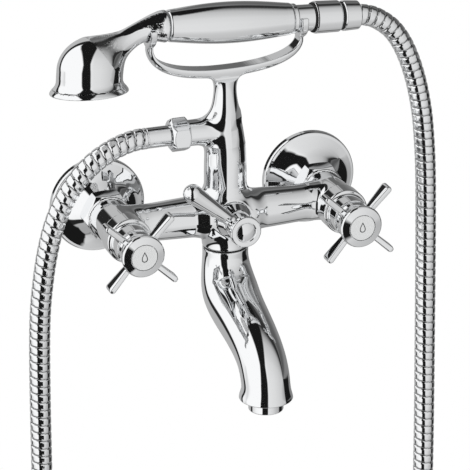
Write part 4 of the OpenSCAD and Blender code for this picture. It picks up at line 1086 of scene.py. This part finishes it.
# Radius and height of each ring, over the crown and over the mouth
TOP = [(9.8, -6), (9.8, 0.8), (10, 1.0), (14.3, 1.0), (14.8, 0.95), (15.1, 0.75), (15.25, 0.4)]
LIP = [
    (17.5, -0.35), (17.1, -0.6), (16.5, -0.7), (14, -0.7), (12.6, -0.6), (12.2, -0.2), (12.1, 0.4), (12.1, 9),
]
top, lip = [np.array([middle + spokes * r + np.array([0, 0, h]) for r, h in sizes])
            for middle, sizes in ((crown, TOP), (mouth, LIP))]
spout_skin = skin(np.concatenate([top, outer[1:], lip]))
add_piece("spout_casting", *spout_skin, IN_PLACE, "spout", "chrome", ("spout",))

# %% Aerator and joint ring
AERATOR = [(9.7, -108.3, 0), (11.5, -108.3, 0.8), (11.5, -92.8, 0.3), (9.7, -92.8, 0.1), (9.7, -108.3, 0)]
JOINT_RING = ring(12, 14.7, -23.25, -22.25)
turned_piece("aerator", AERATOR, AT_OUTLET, "spout", ("aerator_housing",))
turned_piece("joint_ring", JOINT_RING, AT_RISER, "mixer", slot="rubber")

# %% [markdown]
# ## Spray head
# The head is one casting: a bell with a flared lip, and a neck that swells out of it and bends up to the
# grip. The bell is a turned shape and the neck a distance to a bent line, joined with a wide soft minimum,
# so that the black band of the tent runs from the lip up the neck in one sweep.

# %% Head
NECK_LINE = [
    (-40.3, 0, 10.8), (-44, -0.1, 10.2), (-49, -0.7, 8.9), (-54.5, -1.9, 7.5), (-61, -4.4, 6.9),
    (-68, -8.2, 7.5), (-76, -12.6, 9.6), (-84, -18.5, 13.2),
]
HEAD_R, HEAD_DROP, PLATE_R, PLATE_BACK = 20.0, 13.5, 23.3, -10.1
# Height where the bell starts to turn into a ball, and over how much it does so
BALL_FROM, BALL_EASE = 2.0, 7.0
BELL_EDGE, NECK_FILLET, NECK_END, NECK_EDGE = 1.4, 20.0, -40.3, 3.0
BELL_STOPS = [
    (-15, 25.8), (-13.2, 25.6), (-12.3, 25.3), (-11.3, 24.6), (-10.2, 23.6), (-9, 22.4), (-7.5, 21.4),
    (-6, 20.9), (-4, 20.6), (-2, 20.4), (0, 20.15), (2, 19.9), (4, 19.6), (6, 19.08), (9, 17.86), (12, 16),
]
bell_curve = spline(BELL_STOPS, 16)
neck_line = spline(NECK_LINE, 14)


def head_field(u, v, w):
    """Distance to the head, in the handset's own frame."""
    offset, over, radius = near_line(neck_line, u, w)
    neck = np.sqrt(offset**2 + over**2 + v**2) - radius
    c, s = cos_sin(TILT)
    a, b = u - HEAD_X, w - HEAD_Z
    a, up = c * a + s * b, c * b - s * a
    rho = np.hypot(a, v)
    blend = smooth_step((up - BALL_FROM) / BALL_EASE)
    ball = np.sqrt(rho**2 + up**2) - HEAD_R
    bell = rho - np.interp(up, bell_curve[:, 0], bell_curve[:, 1])
    bell = soft_max(bell * (1 - blend) + ball * blend, -HEAD_DROP - up, BELL_EDGE)
    d = soft_max(soft_min(bell, neck, NECK_FILLET), u - NECK_END, NECK_EDGE)
    return bored(d, rho, up - PLATE_BACK, PLATE_R)


cast_piece("head", head_field, (-121, -28, -45), (-39, 28, 14), 0.55, ON_HANDSET, "handset",
           ("handset_head",))

# %% [markdown]
# ## Spray plate
# Under the bell sits a plastic plate with rubber nozzles in four rings, 6, 12, 18 and 24 of them. Placing
# sixty by hand would be slow and stiff. In the tree, a nozzle's number gives its ring and its place in the
# ring.

# %% Plate and one nozzle
PLATE = [(0, -13.3, 0), (22.6, -13.3, 0.3), (23.2, -12.8, 0.4), (23.2, -10.9, 0.2), (0, -10.9, 0)]
turned_piece("spray_face", PLATE, AT_HEAD, "handset", ("spray_plate",), "white_plastic")
NOZZLE, NOZZLE_AT = [(0, 0, 0), (0.45, 0, 0.1), (0.75, 0.5, 0.1), (0.95, 1.2, 0)], -14.0
nozzle = smooth_mesh("nozzle", *lathe(NOZZLE, 10)[:2])


# %% Nozzles in rings
def in_rings(tree, given):
    """Points in rings: ring k holds 6 k points, at k times the spacing."""
    dots = add_node(tree, "GeometryNodePoints", {"Count": given["Count"]}).outputs[0]
    index = add_node(tree, "GeometryNodeInputIndex").outputs[0]
    # The rings before ring k hold 3 k (k - 1) points, which is solved for k
    root = calc(tree, "SQRT", calc(tree, "MULTIPLY_ADD", index, 4 / 3, 1.0))
    ring_number = calc(tree, "FLOOR", calc(tree, "MULTIPLY_ADD", root, 0.5, 0.5))
    before = calc(tree, "MULTIPLY", calc(tree, "ADD", ring_number, -1.0), ring_number)
    turn = calc(tree, "DIVIDE", calc(tree, "MULTIPLY_ADD", before, -3.0, index), ring_number)
    turn = calc(tree, "MULTIPLY", turn, math.pi / 3)
    radius = calc(tree, "MULTIPLY", ring_number, given["Spacing"])
    flat = add_node(tree, "ShaderNodeCombineXYZ", {0: radius}).outputs[0]
    axis = add_node(tree, "ShaderNodeVectorRotate", {"Vector": flat, "Angle": turn},
                    rotation_type="Z_AXIS").outputs[0]
    dots = add_node(tree, "GeometryNodeSetPosition", {0: dots, "Position": axis}).outputs[0]
    return dots, add_node(tree, "ShaderNodeCombineXYZ").outputs[0]


NOZZLES = {"Count": ("NodeSocketInt", 60), "Spacing": ("NodeSocketFloat", 4.6 * MM)}
set_out("spray_nozzles", nozzle, NOZZLES, in_rings, AT_HEAD @ move(0, 0, NOZZLE_AT), "handset", "rubber")

# %% [markdown]
# ## Grip and hose ends
# The grip is a slim barrel with rounded shoulders. Behind it follow the tail, the nut that holds the hose
# and the hose's collar, with black rings in the two joints, and at the other end a sleeve on the branch.
# All are turned about the line they sit on.

# %% Grip, tail, nut, collar and sleeve
GRIP_FROM, GRIP_LEN = -40.0, 85.4
GRIP_END_R, GRIP_SWELL, GRIP_STEPS = 10.2, 3.3, 32
GRIP = [(5.3, GRIP_FROM, 0), (10.3, GRIP_FROM, 2.0)] + [
    (GRIP_END_R + GRIP_SWELL * math.sin(math.pi * k / GRIP_STEPS), GRIP_FROM + GRIP_LEN * k / GRIP_STEPS, 40)
    for k in range(2, GRIP_STEPS - 1)
] + [(10.3, GRIP_FROM + GRIP_LEN, 1.6), (5.3, GRIP_FROM + GRIP_LEN, 0)]
TAIL = [
    (5.05, 45.4, 0), (9.8, 45.4, 0.4), (9.8, 48.2, 0.8), (8.7, 48.5, 0.6), (8.7, 61, 0.1), (8.3, 61, 0.1),
    (8.3, 71, 0.4), (4, 71, 0),
]
CONE_NUT = [(6.25, 61, 0), (10.3, 61, 0.5), (10.7, 62, 0.8), (10.4, 78, 0.6), (9.6, 79, 0.4), (6.25, 79, 0)]
COLLAR = [
    (5.6, 80, 0), (6.2, 79.2, 0.1), (6.2, 81, 0.2), (9.6, 81, 0.4), (10.1, 81.7, 0.5), (9.5, 91.8, 0.6),
    (8.9, 92.4, 0.4), (5.6, 92.4, 0.2), (5.6, 80, 0),
]
SLEEVE = [(5.6, 36, 0), (6.8, 36, 0.1), (6.8, 54.5, 0.6), (5.6, 54.5, 0.2), (5.6, 36, 0)]
RINGS = {"tail_ring": ring(8.8, 9.9, 60.1, 60.9), "collar_ring": ring(6.3, 9.3, 79.1, 80.9)}
turned_piece("grip", GRIP, ALONG_HANDSET, "handset", ("handset_grip",), sides=128)
turned_piece("tail", TAIL, ALONG_HANDSET, "handset", ("handset_tail",))
nut = turned_piece("handset_nut", CONE_NUT, ALONG_HANDSET, "handset", ("cone_nut",))
collar = turned_piece("collar", COLLAR, ALONG_HANDSET, "handset", ("hose_collar",))
sleeve = turned_piece("sleeve", SLEEVE, ALONG_BRANCH, "mixer", ("hose_sleeve",))
for name, profile in RINGS.items():
    turned_piece(name, profile, ALONG_HANDSET, "handset", slot="rubber")

# %% [markdown]
# ## Hose
# A chromed strip is wound into a flexible hose: each turn hooks into the next, and the gaps between turns
# look black. The hose leaves the sleeve on the left, hangs in one long loop and comes back to the handset
# on the right. A curve with a bevel would be a smooth tube, so rings of points follow the route, and a bump
# that winds round once for each turn of the strip makes the ribs. The mesh keeps the depth of each point in
# an attribute, and the finish reads it to paint shade dark into the gaps, so that they stay dark when the
# hose bends.

# %% Route of the hose
HOSE_ROUTE = [
    (-40.5, 59), (-54.5, 59), (-62, 58.6), (-70, 56.8), (-80, 52.8), (-91, 46), (-101, 36.5), (-110, 24),
    (-117, 9), (-122, -8), (-126, -30), (-129, -60), (-130, -110), (-130, -190), (-130, -290), (-130, -380),
    (-120, -433), (-90, -478), (-45, -507), (8, -518), (61, -507), (106, -478), (136, -433), (146, -380),
    (146, -290), (146, -190), (145, -100), (144, -30), (142.8, 14), (140.4, 45), (137.8, 62), (134.2, 77.5),
    (129.4, 92), (123.4, 104.8), (116, 115), (106.5, 122.4), (99.2, 125.6), (92.3, 126.8), (78.3, 127.6),
]
HOSE_ROW, PATH_EVERY = 0.6, 8
route = spline(HOSE_ROUTE, 24)
route_at = np.concatenate([[0], np.cumsum(steps_of(route))])
HOSE_LENGTH = route_at[-1]
along_hose = np.linspace(0, HOSE_LENGTH, int(HOSE_LENGTH / HOSE_ROW))
hose_line = np.stack([
    np.interp(along_hose, route_at, route[:, 0]), np.full(len(along_hose), -BODY_DEPTH),
    np.interp(along_hose, route_at, route[:, 1]),
], 1)
print(f"hose: {HOSE_LENGTH:.0f} mm along its route")

# %% Ribs
HOSE_D, HOSE_SIDES = 14.0, 28
RIB_PITCH, RIB_DEPTH = 5.6, 0.8
# Share of each turn that is rib, the rest being gap, and how flat the rib's crest is
RIB_SHARE, RIB_POWER = 0.9, 8
TAIL_R, TAIL_LEN = 5.3, 14.2
winding = np.arange(HOSE_SIDES) / HOSE_SIDES
phase = (along_hose[:, None] / RIB_PITCH + winding[None, :]) % 1.0
off_crest = np.abs(phase / (RIB_SHARE / 2) - 1)
bump = np.where(phase < RIB_SHARE, np.sqrt(np.maximum(0, 1 - off_crest**RIB_POWER)), 0)
hose_radius = HOSE_D / 2 - RIB_DEPTH * (1 - bump)
in_fitting = (along_hose < TAIL_LEN) | (along_hose > HOSE_LENGTH - TAIL_LEN)
hose_radius[in_fitting] = TAIL_R
hose_skin = skin(tube_rings(hose_line, hose_radius, HOSE_SIDES, (0, 1, 0)))

# %% Hose finish, with shade painted into the gaps
# Brass strip, chrome plated and wound: a mirror on the ribs, with shade painted dark grey into the gaps
# between turns
chrome_with_painted_gap_shade = finish("wound_chrome_painted_gap_shade", "F4F5F6", 1.0, 0.08)
strip_tree = chrome_with_painted_gap_shade.node_tree
# Painted shade: the base colour turns dark grey where the attribute says a point lies deep between ribs
depth = add_node(strip_tree, "ShaderNodeAttribute", attribute_name="gap").outputs["Fac"]
painted_gap_shade_ramp = add_node(strip_tree, "ShaderNodeValToRGB", {0: depth})
for element, place, code in zip(painted_gap_shade_ramp.color_ramp.elements, (0.5, 0.9), ("F4F5F6", "2C2C2C")):
    element.position = place
    element.color = linear(code)
strip_tree.links.new(painted_gap_shade_ramp.outputs[0], strip_tree.nodes["Principled BSDF"].inputs["Base Color"])
hose = add_piece("hose_ribs", *hose_skin, IN_PLACE, None, "chrome", ("shower_hose",), chrome_with_painted_gap_shade)
# Its many bright lines would clutter the flanges and bonnets, so reflections leave it out
hose.visible_glossy = False
# Depth of each point between ribs, which the finish turns into painted shade
gap = hose.data.attributes.new("gap", "FLOAT", "POINT")
gap.data.foreach_set("value", (1 - bump).ravel().astype(np.float32))

# %% Hose baked in place
BLEND_FROM, BLEND_TO = (-36.0, -BODY_DEPTH, -518.0), (70.0, -BODY_DEPTH, -518.0)
[c * MM for c in BLEND_FROM]
[c * MM for c in BLEND_TO]
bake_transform(hose)
print(f"hose: {len(hose.data.polygons)} faces, {HOSE_LENGTH / RIB_PITCH:.0f} turns of strip")
